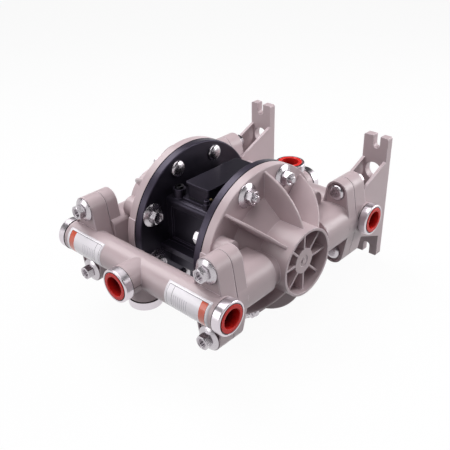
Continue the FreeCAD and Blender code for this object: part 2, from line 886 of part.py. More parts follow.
def make_feet(pump, body):
    """Two slotted mounting plates on gussets behind the inlet pipe."""
    size = pump.size
    front, back = size.foot_front, size.foot_front + size.foot_thickness
    for name, side in (("right", 1), ("left", -1)):
        near, far = side * size.foot_inner, side * size.foot_outer
        left, right = (near, far) if side > 0 else (far, near)
        pad(body, f"{name}_foot", "XZ", front, back, polygon(
            (left, -size.foot_half_height, size.foot_corner),
            (right, -size.foot_half_height, size.foot_corner),
            (right, size.foot_half_height, size.foot_corner),
            (left, size.foot_half_height, size.foot_corner),
        ))
        inner_web = (near, near + side * size.gusset_thickness)
        outer_web = (far - side * size.gusset_thickness, far)
        for place, (start, end) in (("inner", inner_web), ("outer", outer_web)):
            pad(body, f"{name}_{place}_gusset", "YZ", start, end, polygon(
                (-front - size.foot_thickness / 2, -size.gusset_foot_height),
                (-front, -size.gusset_foot_height),
                (-size.gusset_root, -size.gusset_root_height),
                (-size.gusset_root, size.gusset_root_height),
                (-front, size.gusset_foot_height),
                (-front - size.foot_thickness / 2, size.gusset_foot_height),
            ))
        slot_radius = size.slot_width / 2
        for level in (1, -1):
            floor = level * (size.slot_floor + slot_radius)
            open_end = level * (size.foot_half_height + size.slot_width)
            low, high = (floor, open_end) if level > 0 else (open_end, floor)
            part = "upper" if level > 0 else "lower"
            pocket(body, f"{name}_{part}_slot", "XZ", front, back,
                   belt((side * size.slot_place, low, slot_radius),
                        (side * size.slot_place, high, slot_radius)))
            pocket(body, f"{name}_{part}_hole", "XZ", front, back, disc(
                size.foot_hole_radius, side * size.foot_hole_place, level * size.foot_hole_height
            ))


def port_places(size):
    """Ports of a manifold: name, plane, how far the face lies along it, direction, centre."""
    axis = size.pipe_offset
    return [
        ("right", "YZ", size.port_reach, 1, (-axis, 0)),
        ("left", "YZ", -size.port_reach, -1, (-axis, 0)),
        ("front", "XZ", axis + size.branch_reach, 1, (0, 0)),
        ("side", "XY", -size.branch_reach, -1, (0, -axis)),
    ]


def make_port_bands(pump, label, turned_over):
    """Bright steel bands round the four port mouths of a manifold."""
    size = pump.size
    body = pump.body(label, turned_over)
    inner = size.spigot_radius + size.band_clearance
    for name, plane, face, way, centre in port_places(size):
        pad(body, f"{name}_band", plane, face - way * size.band_length, face,
            disc(size.band_radius, *centre), disc(inner, *centre))
    faces = [("x", size.port_reach), ("x", -size.port_reach),
             ("y", -size.pipe_offset - size.branch_reach), ("z", -size.branch_reach)]
    round_edges(body, "band_rounds", size.band_round, lambda edge: any(
        is_circle(edge, size.band_radius, axis, distance) for axis, distance in faces
    ))


def make_port_plugs(pump, label, turned_over):
    """Red hollow caps pushed into the ports, all but the open one at the left end."""
    size = pump.size
    body = pump.body(label, turned_over)
    cup = size.port_bore_radius - size.plug_clearance
    for name, plane, face, way, centre in port_places(size):
        if name == "left":
            continue
        seat = face - way * size.spigot_setback
        pad(body, f"{name}_flange", plane, seat, face + way * size.plug_proud,
            disc(size.plug_radius, *centre))
        pad(body, f"{name}_cup", plane, seat, seat - way * size.plug_depth, disc(cup, *centre))
        pocket(body, f"{name}_hollow", plane, face + way * size.plug_proud,
               seat - way * (size.plug_depth - size.plug_floor),
               disc(cup - size.plug_wall, *centre))
    faces = [("x", size.port_reach + size.plug_proud),
             ("y", -size.pipe_offset - size.branch_reach - size.plug_proud),
             ("z", -size.branch_reach - size.plug_proud)]
    round_edges(body, "lip_rounds", size.plug_edge_round, lambda edge: any(
        is_circle(edge, radius, axis, distance)
        for radius in (size.plug_radius, cup - size.plug_wall) for axis, distance in faces
    ))


def make_cap_bolts(pump):
    """Eight bolts at each pair of round caps, the four beside the necks ending in bosses."""
    size = pump.size
    body = pump.body("cap_bolts_right")
    inner, rim = size.body_half_width, size.rim_face
    head_seat = inner - size.washer_height
    place = pump.first_bolt()
    end = rim + size.washer_height + size.nut_height + size.thread_proud
    head = pad(body, "head", "YZ", head_seat - size.bolt_head_height, head_seat,
               hexagon(size.bolt_head_flats, *place))
    repeat_round_x(body, "heads", head, size.bolt_count)
    in_boss = rim + size.boss_height - 2 * size.boss_floor
    shank = pad(body, "shank", "YZ", head_seat, in_boss, disc(size.bolt_radius, *place))
    repeat_round_x(body, "shanks", shank, size.bolt_count)
    pad(body, "threads", "YZ", rim, end, *[
        disc(size.bolt_radius, *place) for place in pump.bolt_places(beside_necks=False)
    ])
    pump.mirrored("cap_bolts_left", body)


def make_cap_nuts(pump):
    """Hex nuts on the rim of each fluid cap."""
    size = pump.size
    body = pump.body("cap_nuts_right")
    seat = size.rim_face + size.washer_height
    places = pump.bolt_places(beside_necks=False)
    pad(body, "hexes", "YZ", seat, seat + size.nut_height, *[
        hexagon(size.nut_flats, *place) for place in places
    ])
    pocket(body, "holes", "YZ", seat + size.nut_height, seat, *[
        disc(size.bolt_radius, *place) for place in places
    ])
    pump.mirrored("cap_nuts_left", body)


def make_cap_washers(pump):
    """Conical washers under the heads on the air cap and under the nuts on the fluid cap."""
    size = pump.size
    body = pump.body("cap_washers_right")
    inner, rim, high = size.body_half_width, size.rim_face, size.washer_height
    wide, narrow = size.washer_radius, size.washer_top_radius
    outside = pump.bolt_places(beside_necks=False)
    everywhere = outside + pump.bolt_places(beside_necks=True)
    for index, place in enumerate(everywhere, start=1):
        cone(body, f"head_washer_{index}", "YZ", inner - high, narrow, inner, wide, *place)
    for index, place in enumerate(outside, start=1):
        cone(body, f"rim_washer_{index}", "YZ", rim, wide, rim + high, narrow, *place)
    pocket(body, "holes", "YZ", rim + high, inner - high, *[
        disc(size.bolt_radius, *place) for place in everywhere
    ])
    pump.mirrored("cap_washers_left", body)


def make_flange_fasteners(pump, name, turned_over):
    """Carriage bolts, washers and nuts that hold a manifold to the two caps."""
    size = pump.size
    places = pump.flange_bolt_places()
    head_seat = size.flange_joint - size.cap_flange_thickness + size.cap_flange_recess
    washer_seat = (
        size.flange_joint + size.manifold_flange_thickness - size.manifold_flange_recess
    )
    nut_seat = washer_seat + size.washer_height
    nut_end = nut_seat + size.flange_nut_height
    bolts = pump.body(f"{name}_flange_bolts", turned_over)
    pad(bolts, "heads", "XZ", head_seat - size.carriage_head_height, head_seat, *[
        disc(size.carriage_head_radius, *place) for place in places
    ])
    round_edges(bolts, "domes", size.carriage_head_round, lambda edge: is_circle(
        edge, size.carriage_head_radius, "y", size.carriage_head_height - head_seat
    ))
    pad(bolts, "shanks", "XZ", head_seat, nut_end - size.flange_thread_inset, *[
        disc(size.bolt_radius, *place) for place in places
    ])
    washers = pump.body(f"{name}_flange_washers", turned_over)
    for index, place in enumerate(places, start=1):
        cone(washers, f"washer_{index}", "XZ", washer_seat, size.flange_washer_radius,
             nut_seat, size.washer_top_radius, *place)
    pocket(washers, "holes", "XZ", washer_seat, nut_seat, *[
        disc(size.bolt_radius, *place) for place in places
    ])
    nuts = pump.body(f"{name}_flange_nuts", turned_over)
    pad(nuts, "hexes", "XZ", nut_seat, nut_end, *[
        hexagon(size.nut_flats, *place) for place in places
    ])
    pocket(nuts, "holes", "XZ", nut_seat, nut_end, *[
        disc(size.bolt_radius, *place) for place in places
    ])


def make_check_valves(pump):
    """Four check balls, each with its seat ring and seal ring, in the bolted joints."""
    size = pump.size
    joint = size.flange_joint
    rise = root(size.ball_radius * size.ball_radius - size.seat_bore_radius * size.seat_bore_radius)
    for side_name, side in (("right", 1), ("left", -1)):
        across = side * size.valve_offset
        for name, face in (("outlet", joint), ("inlet", -joint)):
            ball = pump.document.addObject("Part::Sphere", f"ball_{name}_{side_name}")
            ball.Label = ball.Name
            bind(ball, "Radius", size.ball_radius)
            pump.place(ball, across, -face - rise - size.ball_gap)
            pump.parts.append(ball)
            seat = pump.body(f"seat_{name}_{side_name}")
            seat_end = face - size.seat_thickness
            pad(seat, "ring", "XZ", face, seat_end,
                disc(size.seat_radius, across, 0), disc(size.seat_bore_radius, across, 0))
            seal = pump.document.addObject("Part::Torus", f"seat_seal_{name}_{side_name}")
            seal.Label = seal.Name
            bind(seal, "Radius1", size.seal_ring_radius)
            bind(seal, "Radius2", size.seal_thickness / 2)
            rotation = FreeCAD.Rotation(FreeCAD.Vector(1, 0, 0), 90)
            seal.Placement = FreeCAD.Placement(FreeCAD.Vector(), rotation)
            pump.place(seal, across, size.seal_thickness / 2 - seat_end)
            pump.parts.append(seal)


def make_centre_body(pump):
    """Black centre body between the air caps, with wells for the washers and the air ports."""
    size = pump.size
    body = pump.body("center_body")
    half = size.body_half_width
    pad(body, "block", "YZ", -half, half, rounded_box(
        -size.body_half_depth, size.body_half_depth,
        -size.body_half_height, size.body_half_height, size.body_round,
    ))
    pad(body, "ledge", "YZ", -half, half, polygon(
        (-size.ledge_reach, size.ledge_bottom),
        (-size.body_half_depth + size.body_round, size.ledge_bottom),
        (-size.body_half_depth + size.body_round, size.ledge_top),
        (-size.ledge_reach, size.ledge_top),
    ))
    posts = [
        (side * size.post_place_x, end * size.post_place_y) for side in (1, -1) for end in (1, -1)
    ]
    pad(body, "posts", "XY", size.body_half_height - size.body_round, size.post_top, *[
        disc(size.post_radius, *place) for place in posts
    ])
    wide, deep = size.block_half_width + size.saddle_margin, size.saddle_margin
    pad(body, "saddle", "XY", size.body_half_height - size.body_round, size.saddle_top,
        rounded_box(-wide, wide, -size.block_front - deep, size.block_back + deep,
                    size.block_round))
    bottom = -size.body_half_height
    pad(body, "air_bosses", "XY", bottom + size.body_round, bottom - size.air_boss_height, *[
        disc(size.air_boss_radius, 0, end * size.air_port_offset) for end in (1, -1)
    ])
    pocket(body, "front_panel", "XZ", size.body_half_depth,
           size.body_half_depth - size.panel_depth, polygon(
               (-size.panel_half_width, size.panel_bottom),
               (size.panel_half_width, size.panel_bottom),
               (size.panel_half_width, size.panel_top),
               (-size.panel_half_width, size.panel_top),
           ))
    pocket(body, "rod_bore", "YZ", -half, half, disc(size.rod_radius + size.rod_bore_relief))
    pocket(body, "pilot_bore", "YZ", -half, half,
           disc(size.pilot_radius + size.rod_play, 0, -size.pilot_drop))
    for name, side in (("right", 1), ("left", -1)):
        floor = half - size.well_depth
        pocket(body, f"{name}_well", "YZ", side * half, side * floor, disc(size.well_radius))
        pocket(body, f"{name}_bushing_seat", "YZ", side * floor,
               side * (floor - size.bushing_length), disc(size.bushing_radius))
    for name, radius, end in (
        ("air_inlet", size.air_inlet_radius, -1), ("air_exhaust", size.air_exhaust_radius, 1)
    ):
        mouth = bottom - size.air_boss_height
        pocket(body, name, "XY", mouth, mouth + size.air_port_depth,
               disc(radius, 0, end * size.air_port_offset))
    pocket(body, "screw_holes", "XY", size.post_top, size.post_top - size.screw_length, *[
        disc(size.screw_radius + size.bolt_clearance, *place) for place in posts
    ])
    screws = pump.body("body_screws")
    head_top = size.post_top + size.screw_head_height
    pad(screws, "shanks", "XY", size.post_top - size.screw_length + size.bolt_clearance,
        size.post_top, *[disc(size.screw_radius, *place) for place in posts])
    pad(screws, "heads", "XY", size.post_top, head_top, *[
        disc(size.screw_head_radius, *place) for place in posts
    ])
    pocket(screws, "sockets", "XY", head_top, size.post_top + size.bolt_clearance, *[
        hexagon(size.screw_hex_flats, *place) for place in posts
    ])


def make_air_valve(pump):
    """Valve block with its gasket, cover, sliding spool and end plug on the centre body."""
    size = pump.size
    bottom = size.saddle_top
    block_bottom = bottom + size.gasket_thickness
    bore_height = (block_bottom + size.block_top) / 2
    wide = size.block_half_width
    front, back = -size.block_front, size.block_back
    gasket = pump.body("valve_gasket")
    pad(gasket, "sheet", "XY", bottom, block_bottom,
        rounded_box(-wide, wide, front, back, size.block_round))
    block = pump.body("valve_block")
    pad(block, "block", "XY", block_bottom, size.block_top,
        rounded_box(-wide, wide, front, back, size.block_round))
    bore_end = -(size.spool_half_length + size.spool_travel + size.block_round)
    pocket(block, "spool_bore", "XZ", -back, -bore_end,
           disc(size.spool_radius + size.spool_play, 0, bore_height))
    pocket(block, "plug_bore", "XZ", -back, size.end_plug_length - back,
           disc(size.end_plug_radius, 0, bore_height))
    cover = pump.body("valve_cover")
    lip = size.cover_overhang
    pad(cover, "plate", "XY", size.block_top, size.block_top + size.cover_thickness,
        rounded_box(-wide - lip, wide + lip, front - lip, back + lip, size.block_round))
    plug = pump.body("valve_end_plug")
    pad(plug, "disc", "XZ", -back, size.end_plug_length - back,
        disc(size.end_plug_radius, 0, bore_height))
    spool = pump.body("valve_spool", up=bore_height)
    land, waist = size.spool_radius, size.spool_waist_radius
    end, width = size.spool_half_length, size.spool_land
    revolve(spool, "spool", polygon(
        (0, -end), (land, -end), (land, width - end), (waist, width - end),
        (waist, -width / 2), (land, -width / 2), (land, width / 2), (waist, width / 2),
        (waist, end - width), (land, end - width), (land, end), (0, end),
    ), axis="V")


def make_rod(pump):
    """The common rod with the bushings it slides in, the washers and nuts, and the pilot rod."""
    size = pump.size
    joint = size.joint_face
    shoulder = joint - size.inner_washer_thickness
    washer_face = joint + size.diaphragm_thickness
    nut_face = washer_face + size.outer_washer_thickness
    nut_end = nut_face + size.rod_nut_height
    rod = pump.body("diaphragm_rod")
    thread_end = nut_end + size.rod_thread_proud
    revolve(rod, "rod", polygon(
        (-thread_end, 0), (thread_end, 0), (thread_end, size.rod_thread_radius),
        (shoulder, size.rod_thread_radius), (shoulder, size.rod_radius),
        (-shoulder, size.rod_radius), (-shoulder, size.rod_thread_radius),
        (-thread_end, size.rod_thread_radius),
    ))
    inner = pump.body("inner_washer_right")
    revolve(inner, "washer", polygon(
        (shoulder, size.rod_thread_radius), (joint, size.rod_thread_radius),
        (joint, size.inner_washer_radius),
        (shoulder + size.inner_washer_thickness / 2, size.inner_washer_radius),
        (shoulder, size.inner_washer_radius - size.inner_washer_thickness / 2),
    ))
    pump.mirrored("inner_washer_left", inner)
    outer = pump.body("outer_washer_right")
    revolve(outer, "washer", polygon(
        (washer_face, size.rod_thread_radius), (nut_face, size.rod_thread_radius),
        (nut_face, size.outer_washer_radius / 2),
        (washer_face + size.outer_washer_thickness / 2, size.outer_washer_radius),
        (washer_face, size.outer_washer_radius),
    ))
    pump.mirrored("outer_washer_left", outer)
    nut = pump.body("rod_nut_right")
    pad(nut, "hex", "YZ", nut_face, nut_end,
        hexagon(size.rod_nut_flats), disc(size.rod_thread_radius))
    pump.mirrored("rod_nut_left", nut)
    bushings = pump.body("rod_bushings")
    floor = size.body_half_width - size.well_depth
    for name, side in (("right", 1), ("left", -1)):
        pad(bushings, name, "YZ", side * (floor - size.bushing_length), side * floor,
            disc(size.bushing_radius), disc(size.rod_radius + size.rod_play))
    pilot = pump.body("pilot_rod")
    reach = shoulder - size.rod_travel - size.pilot_travel - size.pilot_gap
    pad(pilot, "pin", "YZ", -reach, reach, disc(size.pilot_radius, 0, -size.pilot_drop))


def make_diaphragm(pump):
    """Rubber diaphragm: a flat rim and centre with one rolled convolution between them."""
    size = pump.size
    body = pump.body("diaphragm_right")
    face, thick = size.joint_face, size.diaphragm_thickness
    outer, inner = size.diaphragm_roll_outer, size.diaphragm_roll_inner
    middle = (outer + inner) / 2
    run, rise = (outer - inner) / 2, size.diaphragm_roll_height
    slant = root(run * run + rise * rise)
    # Both faces of the roll stay one thickness apart
    shift = thick * (slant - run) / rise
    bend, wide_bend = size.diaphragm_bend, size.diaphragm_bend + thick
    revolve(body, "sheet", polygon(
        (face, size.diaphragm_radius),
        (face, outer - shift),
        (face + (run - shift) * rise / run, middle, bend),
        (face, inner + shift),
        (face, size.rod_thread_radius),
        (face + thick, size.rod_thread_radius),
        (face + thick, inner),
        (face + thick + rise, middle, wide_bend),
        (face + thick, outer),
        (face + thick, size.diaphragm_radius),
    ))
    pump.mirrored("diaphragm_left", body)


def check_and_export(pump):
    """Stops on any failed feature or bad shape, then writes one STEP file for each sub-part."""
    pump.document.recompute()
    failed = [
        item.Label for item in pump.document.Objects
        if {"Invalid", "Error"} & set(item.State)
    ]
    if failed:
        raise RuntimeError("failed features: " + ", ".join(failed))
    for item in pump.parts:
        shape = item.Shape
        if shape.isNull() or not shape.isValid() or shape.Volume <= 0:
            raise RuntimeError("bad shape: " + item.Label)
    os.makedirs("parts", exist_ok=True)
    for item in pump.parts:
        item.Shape.exportStep(os.path.join("parts", item.Label + ".step"))
        solids = len(item.Shape.Solids)
        print(f"{item.Label}: {solids} solid(s), {item.Shape.Volume:.1f} mm3")


def main():
    pump = Pump()
    make_centre_body(pump)
    make_air_valve(pump)
    make_rod(pump)
    make_air_cap(pump)
    make_diaphragm(pump)
    make_fluid_cap(pump)
    make_manifold(pump, "outlet_manifold", False, seats_here=False, with_feet=False)
    make_manifold(pump, "inlet_manifold", True, seats_here=True, with_feet=True)
    make_check_valves(pump)
    for name, turned_over in (("outlet", False), ("inlet", True)):
        make_port_bands(pump, f"{name}_port_bands", turned_over)
        make_port_plugs(pump, f"{name}_port_plugs", turned_over)
        make_flange_fasteners(pump, name, turned_over)
    make_cap_bolts(pump)
    make_cap_nuts(pump)
    make_cap_washers(pump)
    check_and_export(pump)


main()
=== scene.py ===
import math

import bmesh
import bpy
from mathutils import Matrix, Vector


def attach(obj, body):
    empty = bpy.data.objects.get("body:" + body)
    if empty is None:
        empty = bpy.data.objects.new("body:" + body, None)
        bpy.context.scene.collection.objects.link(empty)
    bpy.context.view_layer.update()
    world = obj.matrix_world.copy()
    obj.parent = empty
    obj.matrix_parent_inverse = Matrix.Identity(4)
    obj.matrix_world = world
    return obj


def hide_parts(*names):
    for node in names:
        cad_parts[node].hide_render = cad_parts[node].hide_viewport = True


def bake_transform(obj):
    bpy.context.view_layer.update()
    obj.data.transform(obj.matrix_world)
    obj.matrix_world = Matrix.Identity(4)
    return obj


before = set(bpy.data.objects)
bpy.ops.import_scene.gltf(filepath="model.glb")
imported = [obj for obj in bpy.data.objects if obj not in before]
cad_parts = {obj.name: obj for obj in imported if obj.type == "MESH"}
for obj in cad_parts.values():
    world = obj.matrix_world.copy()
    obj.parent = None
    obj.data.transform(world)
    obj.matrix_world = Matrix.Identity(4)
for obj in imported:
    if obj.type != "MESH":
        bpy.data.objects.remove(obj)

# Places are measured in millimetres from the middle of the diaphragm rod, as the pump is drawn
MM = 0.001
ROD_MIDDLE = Vector((0, -9.25, 83)) * MM

# Round caps: a tan one outside and a black one inside, with eight bolts round each pair
RIM_FACE = 55.5
BODY_FACE = 37.0
DISC_RADIUS = 83.0
BOLT_CIRCLE = 70.0
BOLT_COUNT = 8
BOLT_STEP = 360.0 / BOLT_COUNT
FIRST_BOLT = 22.5
CAP_WASHER = 12.3
BLIND_BOLT = 24.7
THREAD_PROUD = 3.6

# Bolts, nuts and washers
SHANK_RADIUS = 4.0
HEX_FLATS = 13.0
HEX_FOOT = 0.35
HEX_CHAMFER = 0.75
HEX_TOP = 0.25
NUT_HEIGHT = 7.2
HEAD_HEIGHT = 7.0
WASHER_HEIGHT = 3.2
WASHER_TOP = 7.9
ROUND_HEAD_RADIUS = 8.7
ROUND_HEAD_HEIGHT = 4.4
ROUND_HEAD_EDGE = 0.7
DOME_STEPS = 8
THREAD_PITCH = 1.25
THREAD_DEPTH = 0.55
THREAD_END = 0.9
RINGS_PER_TURN = 5

# How far, in degrees, each hexagon happens to be turned
HEAD_SPIN = 11.0
HEAD_SPIN_STEP = 23.0
RIGHT_SPIN = 17.0
NUT_SPIN = 9.0
FLANGE_SPIN = 13.0
FLANGE_SPIN_STEP = 19.0

# Manifold flanges, four bolts each
FLANGE_WASHER = 12.1
FLANGE_BOLT_ACROSS = 84.5
FLANGE_BOLT_UP = 35.5
FLANGE_FACE = 111.85

# Diaphragms; the sections are given as radius and height above the joint of the caps
DIAPHRAGM_EDGE = 45.5
EDGE_LINE_WIDTH = 1.1
EDGE_LINE_BELOW = 0.75
DIAPHRAGM_UNDER = (
    (5.0, 0.0), (26.8, 0.0), (34.3, 4.4), (38.0, 6.54), (39.2, 7.05), (40.5, 7.23),
    (41.8, 7.05), (43.0, 6.54), (46.8, 4.4), (54.2, 0.0), (61.8, 0.0),
)
DIAPHRAGM_TOP = (
    (5.0, 3.0), (26.0, 3.0), (33.0, 7.1), (36.4, 9.1), (38.2, 9.88), (40.5, 10.24),
    (42.8, 9.88), (44.6, 9.1), (48.0, 7.1), (55.0, 3.0), (61.8, 3.0),
)
SECTORS = 8
SECTOR_STEPS = 9
FLEX_OUTER = 56.0
FLEX_INNER = 25.0

# Small screw and plug at the valve block; the section is given as radius and height
SADDLE_SCREW = (14.5, -38.5, 39.5)
SADDLE_SCREW_SECTION = (
    (0.0, 0.0), (3.4, 0.0), (3.4, 6.6), (3.2, 6.9), (2.9, 6.9), (2.9, 10.5), (2.6, 10.9),
    (1.6, 11.0), (1.5, 9.6), (0.0, 9.6),
)
BLOCK_PLUG = (14.8, -33.5, 49.5)
PLUG_FLATS = 2.3

# Manifold pipes and their ports
PIPE_OFFSET = 112.0
PIPE_RADIUS = 16.2
BRANCH_RADIUS = 16.0
BRANCH_REACH = 35.0
PORT_REACH = 112.5
BAND_LENGTH = 8.6
BAND_GAP = 0.02
SEAL_WIDTH = 0.9
SEAL_PROUD = 0.25
SEAM_RADIUS = 0.3
SEAM_START = 0.6

# Labels: name, inner end and direction; degrees round the pipe from straight ahead for the
# margins and lines above and below, and lengths along it for those at the sides
LABEL_TOP = 62.0
LABEL_BOTTOM = -66.0
LABEL_LIFT = 0.12
LABEL_PLACES = (("label_right", 46.0, 1), ("label_left", -45.0, -1))
LABEL_LENGTH = 53.0
LABEL_MARGIN = 8.6
LABEL_LINE = 1.4
LABEL_FACE = 98.0
LABEL_STEPS = 24
LABEL_SIDE_MARGIN = 2.6
LABEL_SIDE_LINE = 0.4
LABEL_COLUMN = 9.0
FIRST_RULE = 11.4
RULE_STEP = 2.6
RULE_WIDTH = 0.55
RULE_COUNT = 7
FIRST_RULE_ROW = 4
RULE_ROWS_FROM_END = 6
END_BAND = (42.2, 49.4)

# Camera: the photograph's viewpoint, fitted to the pump's bolts, rings and edges; angles in
# degrees, distances in metres, lens and sensor in millimetres
CAMERA_AZIMUTH = 43.17
CAMERA_ELEVATION = 29.70
CAMERA_ROLL = -1.30
CAMERA_TARGET = ROD_MIDDLE + Vector((5.02, -3.34, 4.21)) * MM
CAMERA_DISTANCE = 0.68634
CAMERA_LENS = 52.73
CAMERA_SENSOR = 36.0
CAMERA_CLIP = (0.01, 20.0)

# Lights: name, place in metres, side of the square lamp, watts
LIGHT_TARGET = (0, 0, 0.08)
LIGHTS = (
    ("top_light", (0.0, 0.0, 1.15), 0.9, 4.9),
    ("left_light", (-0.6, 0.0, 1.0), 0.7, 6.4),
    ("front_light", (-0.5, -0.95, 0.5), 0.6, 3.3),
    ("right_light", (0.75, 0.8, 0.5), 0.6, 5.6),
    ("cap_light", (0.35, -0.55, 0.95), 0.6, 2.0),
    ("rear_light", (0.35, 1.0, 0.45), 0.6, 3.0),
)

# Surroundings; the floor's half side and drop are in metres
WORLD_TINT = (0.92, 0.93, 1.0, 1.0)
WORLD_STRENGTH = 0.03
CEILING_START = 0.06
CEILING_END = 0.32
WHITE = (1.0, 1.0, 1.0, 1.0)
CEILING = (0.015, 0.015, 0.02, 1.0)
FLOOR_HALF = 6.0
FLOOR_CELLS = 8
FLOOR_DROP = 0.0004
FLOOR_GLOW = 0.94

# Noise on surfaces: its detail, the range that most of it lies in, and waves per metre
NOISE_DETAIL = 3.0
NOISE_RANGE = (0.3, 0.7)
FLOW_WAVES = 38.0
GLOSS_WAVES = 160.0
GRAIN_WAVES = 2600.0
RIM_SHEEN_WAVES = 110.0
METAL_TONE_WAVES = 90.0
METAL_WEAR_WAVES = 700.0
METAL_LINE_WAVES = 1500.0
FIBRE_TONE_WAVES = 900.0
FIBRE_GLOSS_WAVES = 500.0
FIBRE_WAVES = 3000.0
FLOOR_WAVES = 6.0

# Relief: depths in metres, and how strongly the fibres of paper show
GRAIN_DEPTH = 0.0001
METAL_LINE_DEPTH = 0.00005
FIBRE_DEPTH = 0.00003
FIBRE_STRENGTH = 0.1

# Rounded edges: radii in metres, and samples taken for them
PLASTIC_ROUNDING = 0.0008
METAL_ROUNDING = 0.0003
ROUNDING_SAMPLES = 6

# Gloss: how far roughness strays on plastic and print, and between what shares on metal
PLASTIC_STRAY = 0.04
PRINT_STRAY = 0.05
METAL_STRAY = (0.92, 1.1)
PLASTIC_IOR = 1.5

# The clear film over print
FILM_WEIGHT = 0.8
FILM_ROUGHNESS = 0.15

# Painted shade in holes: depth in millimetres, and how open a face is where the painted shade is
# darkest and where it is plain
HOLE_DEPTH = 12.0
HOLE_SHADE = (0.42, 0.9)

# Painted highlights on edges: cosine of how far a normal is turned, where the painted highlight
# starts and where it is full
EDGE_TURN = (0.995, 0.93)

# Painted sheen on the rims of the black caps: radii where it starts and is full, and its share
RIM_START = DISC_RADIUS - 2.0
RIM_END = DISC_RADIUS - 1.2
RIM_SHEEN_SHARE = (0.7, 1.0)

# Angle from which an edge of a piece is drawn sharp
SHARP_ANGLE = 28.0


# Shader nodes

def new_material(name):
    material = bpy.data.materials.new(name)
    material.use_nodes = True
    tree = material.node_tree
    shader = next(node for node in tree.nodes if node.type == "BSDF_PRINCIPLED")
    return material, tree, shader


def linear(*channels):
    """Scene colour of an sRGB colour given in 0 to 255."""
    def convert(value):
        value /= 255
        return value / 12.92 if value <= 0.04045 else ((value + 0.055) / 1.055) ** 2.4
    return tuple(convert(value) for value in channels) + (1.0,)


def set_socket(tree, socket, value):
    """Links another node's output to a socket, or writes a plain value on it."""
    if isinstance(value, bpy.types.NodeSocket):
        tree.links.new(value, socket)
    else:
        socket.default_value = value


def noise(tree, waves):
    """Noise in the object's own space."""
    place = tree.nodes.new("ShaderNodeTexCoord")
    texture = tree.nodes.new("ShaderNodeTexNoise")
    texture.inputs["Scale"].default_value = waves
    texture.inputs["Detail"].default_value = NOISE_DETAIL
    tree.links.new(place.outputs["Object"], texture.inputs["Vector"])
    return texture.outputs["Fac"]


def map_range(tree, value, low, high, to_low=0.0, to_high=1.0):
    node = tree.nodes.new("ShaderNodeMapRange")
    limits = (("From Min", low), ("From Max", high), ("To Min", to_low), ("To Max", to_high))
    for name, limit in limits:
        node.inputs[name].default_value = limit
    tree.links.new(value, node.inputs["Value"])
    return node.outputs["Result"]


def spread_between(tree, factor, low, high):
    """A number that follows noise between two values."""
    return map_range(tree, factor, *NOISE_RANGE, low, high)


def calculate(tree, operation, first, second, clamp=False):
    node = tree.nodes.new("ShaderNodeMath")
    node.operation = operation
    node.use_clamp = clamp
    set_socket(tree, node.inputs[0], first)
    set_socket(tree, node.inputs[1], second)
    return node.outputs[0]


def calculate_vector(tree, operation, first, second=None):
    node = tree.nodes.new("ShaderNodeVectorMath")
    node.operation = operation
    set_socket(tree, node.inputs[0], first)
    if second is not None:
        set_socket(tree, node.inputs[1], second)
    scalar = operation in ("LENGTH", "DOT_PRODUCT")
    return node.outputs["Value" if scalar else "Vector"]


def mix_colour(tree, factor, first, second):
    mix = tree.nodes.new("ShaderNodeMix")
    mix.data_type = "RGBA"
    tree.links.new(factor, mix.inputs["Factor"])
    set_socket(tree, mix.inputs[6], first)
    set_socket(tree, mix.inputs[7], second)
    return mix.outputs[2]


def softened_edges(tree, radius):
    """Normals that turn smoothly over sharp edges, as moulded and machined corners do."""
    bevel = tree.nodes.new("ShaderNodeBevel")
    bevel.samples = ROUNDING_SAMPLES
    bevel.inputs["Radius"].default_value = radius
    return bevel.outputs["Normal"]


def bump(tree, height, strength, distance, normal=None):
    """Raises a surface's normals over the one given, or over its own."""
    node = tree.nodes.new("ShaderNodeBump")
    node.inputs["Strength"].default_value = strength
    node.inputs["Distance"].default_value = distance
    tree.links.new(height, node.inputs["Height"])
    if normal is not None:
        tree.links.new(normal, node.inputs["Normal"])
    return node.outputs["Normal"]


def painted_edge_highlight_share(tree, softened):
    """Rises from 0 on flat faces to 1 on edges, where a painted highlight lightens the surface.
    """
    geometry = tree.nodes.new("ShaderNodeNewGeometry")
    turned = calculate_vector(tree, "DOT_PRODUCT", softened, geometry.outputs["Normal"])
    return map_range(tree, turned, *EDGE_TURN)


def painted_rim_sheen_share(tree):
    """How far a point is on a disc's outer rim, in patches: there a painted sheen lightens the
    black.
    """
    place = tree.nodes.new("ShaderNodeTexCoord").outputs["Object"]
    place = calculate_vector(tree, "SUBTRACT", place, ROD_MIDDLE)
    place = calculate_vector(tree, "MULTIPLY", place, (0, 1, 1))
    radius = calculate_vector(tree, "LENGTH", place)
    rim = map_range(tree, radius, RIM_START * MM, RIM_END * MM)
    sheen_patches = spread_between(tree, noise(tree, RIM_SHEEN_WAVES), *RIM_SHEEN_SHARE)
    return calculate(tree, "MULTIPLY", rim, sheen_patches)


def painted_hole_shade_share(tree):
    """0 deep inside a hole, where the colour takes the most painted shade, and 1 on open faces.
    """
    shade = tree.nodes.new("ShaderNodeAmbientOcclusion")
    shade.inputs["Distance"].default_value = HOLE_DEPTH * MM
    return map_range(tree, shade.outputs["AO"], *HOLE_SHADE)


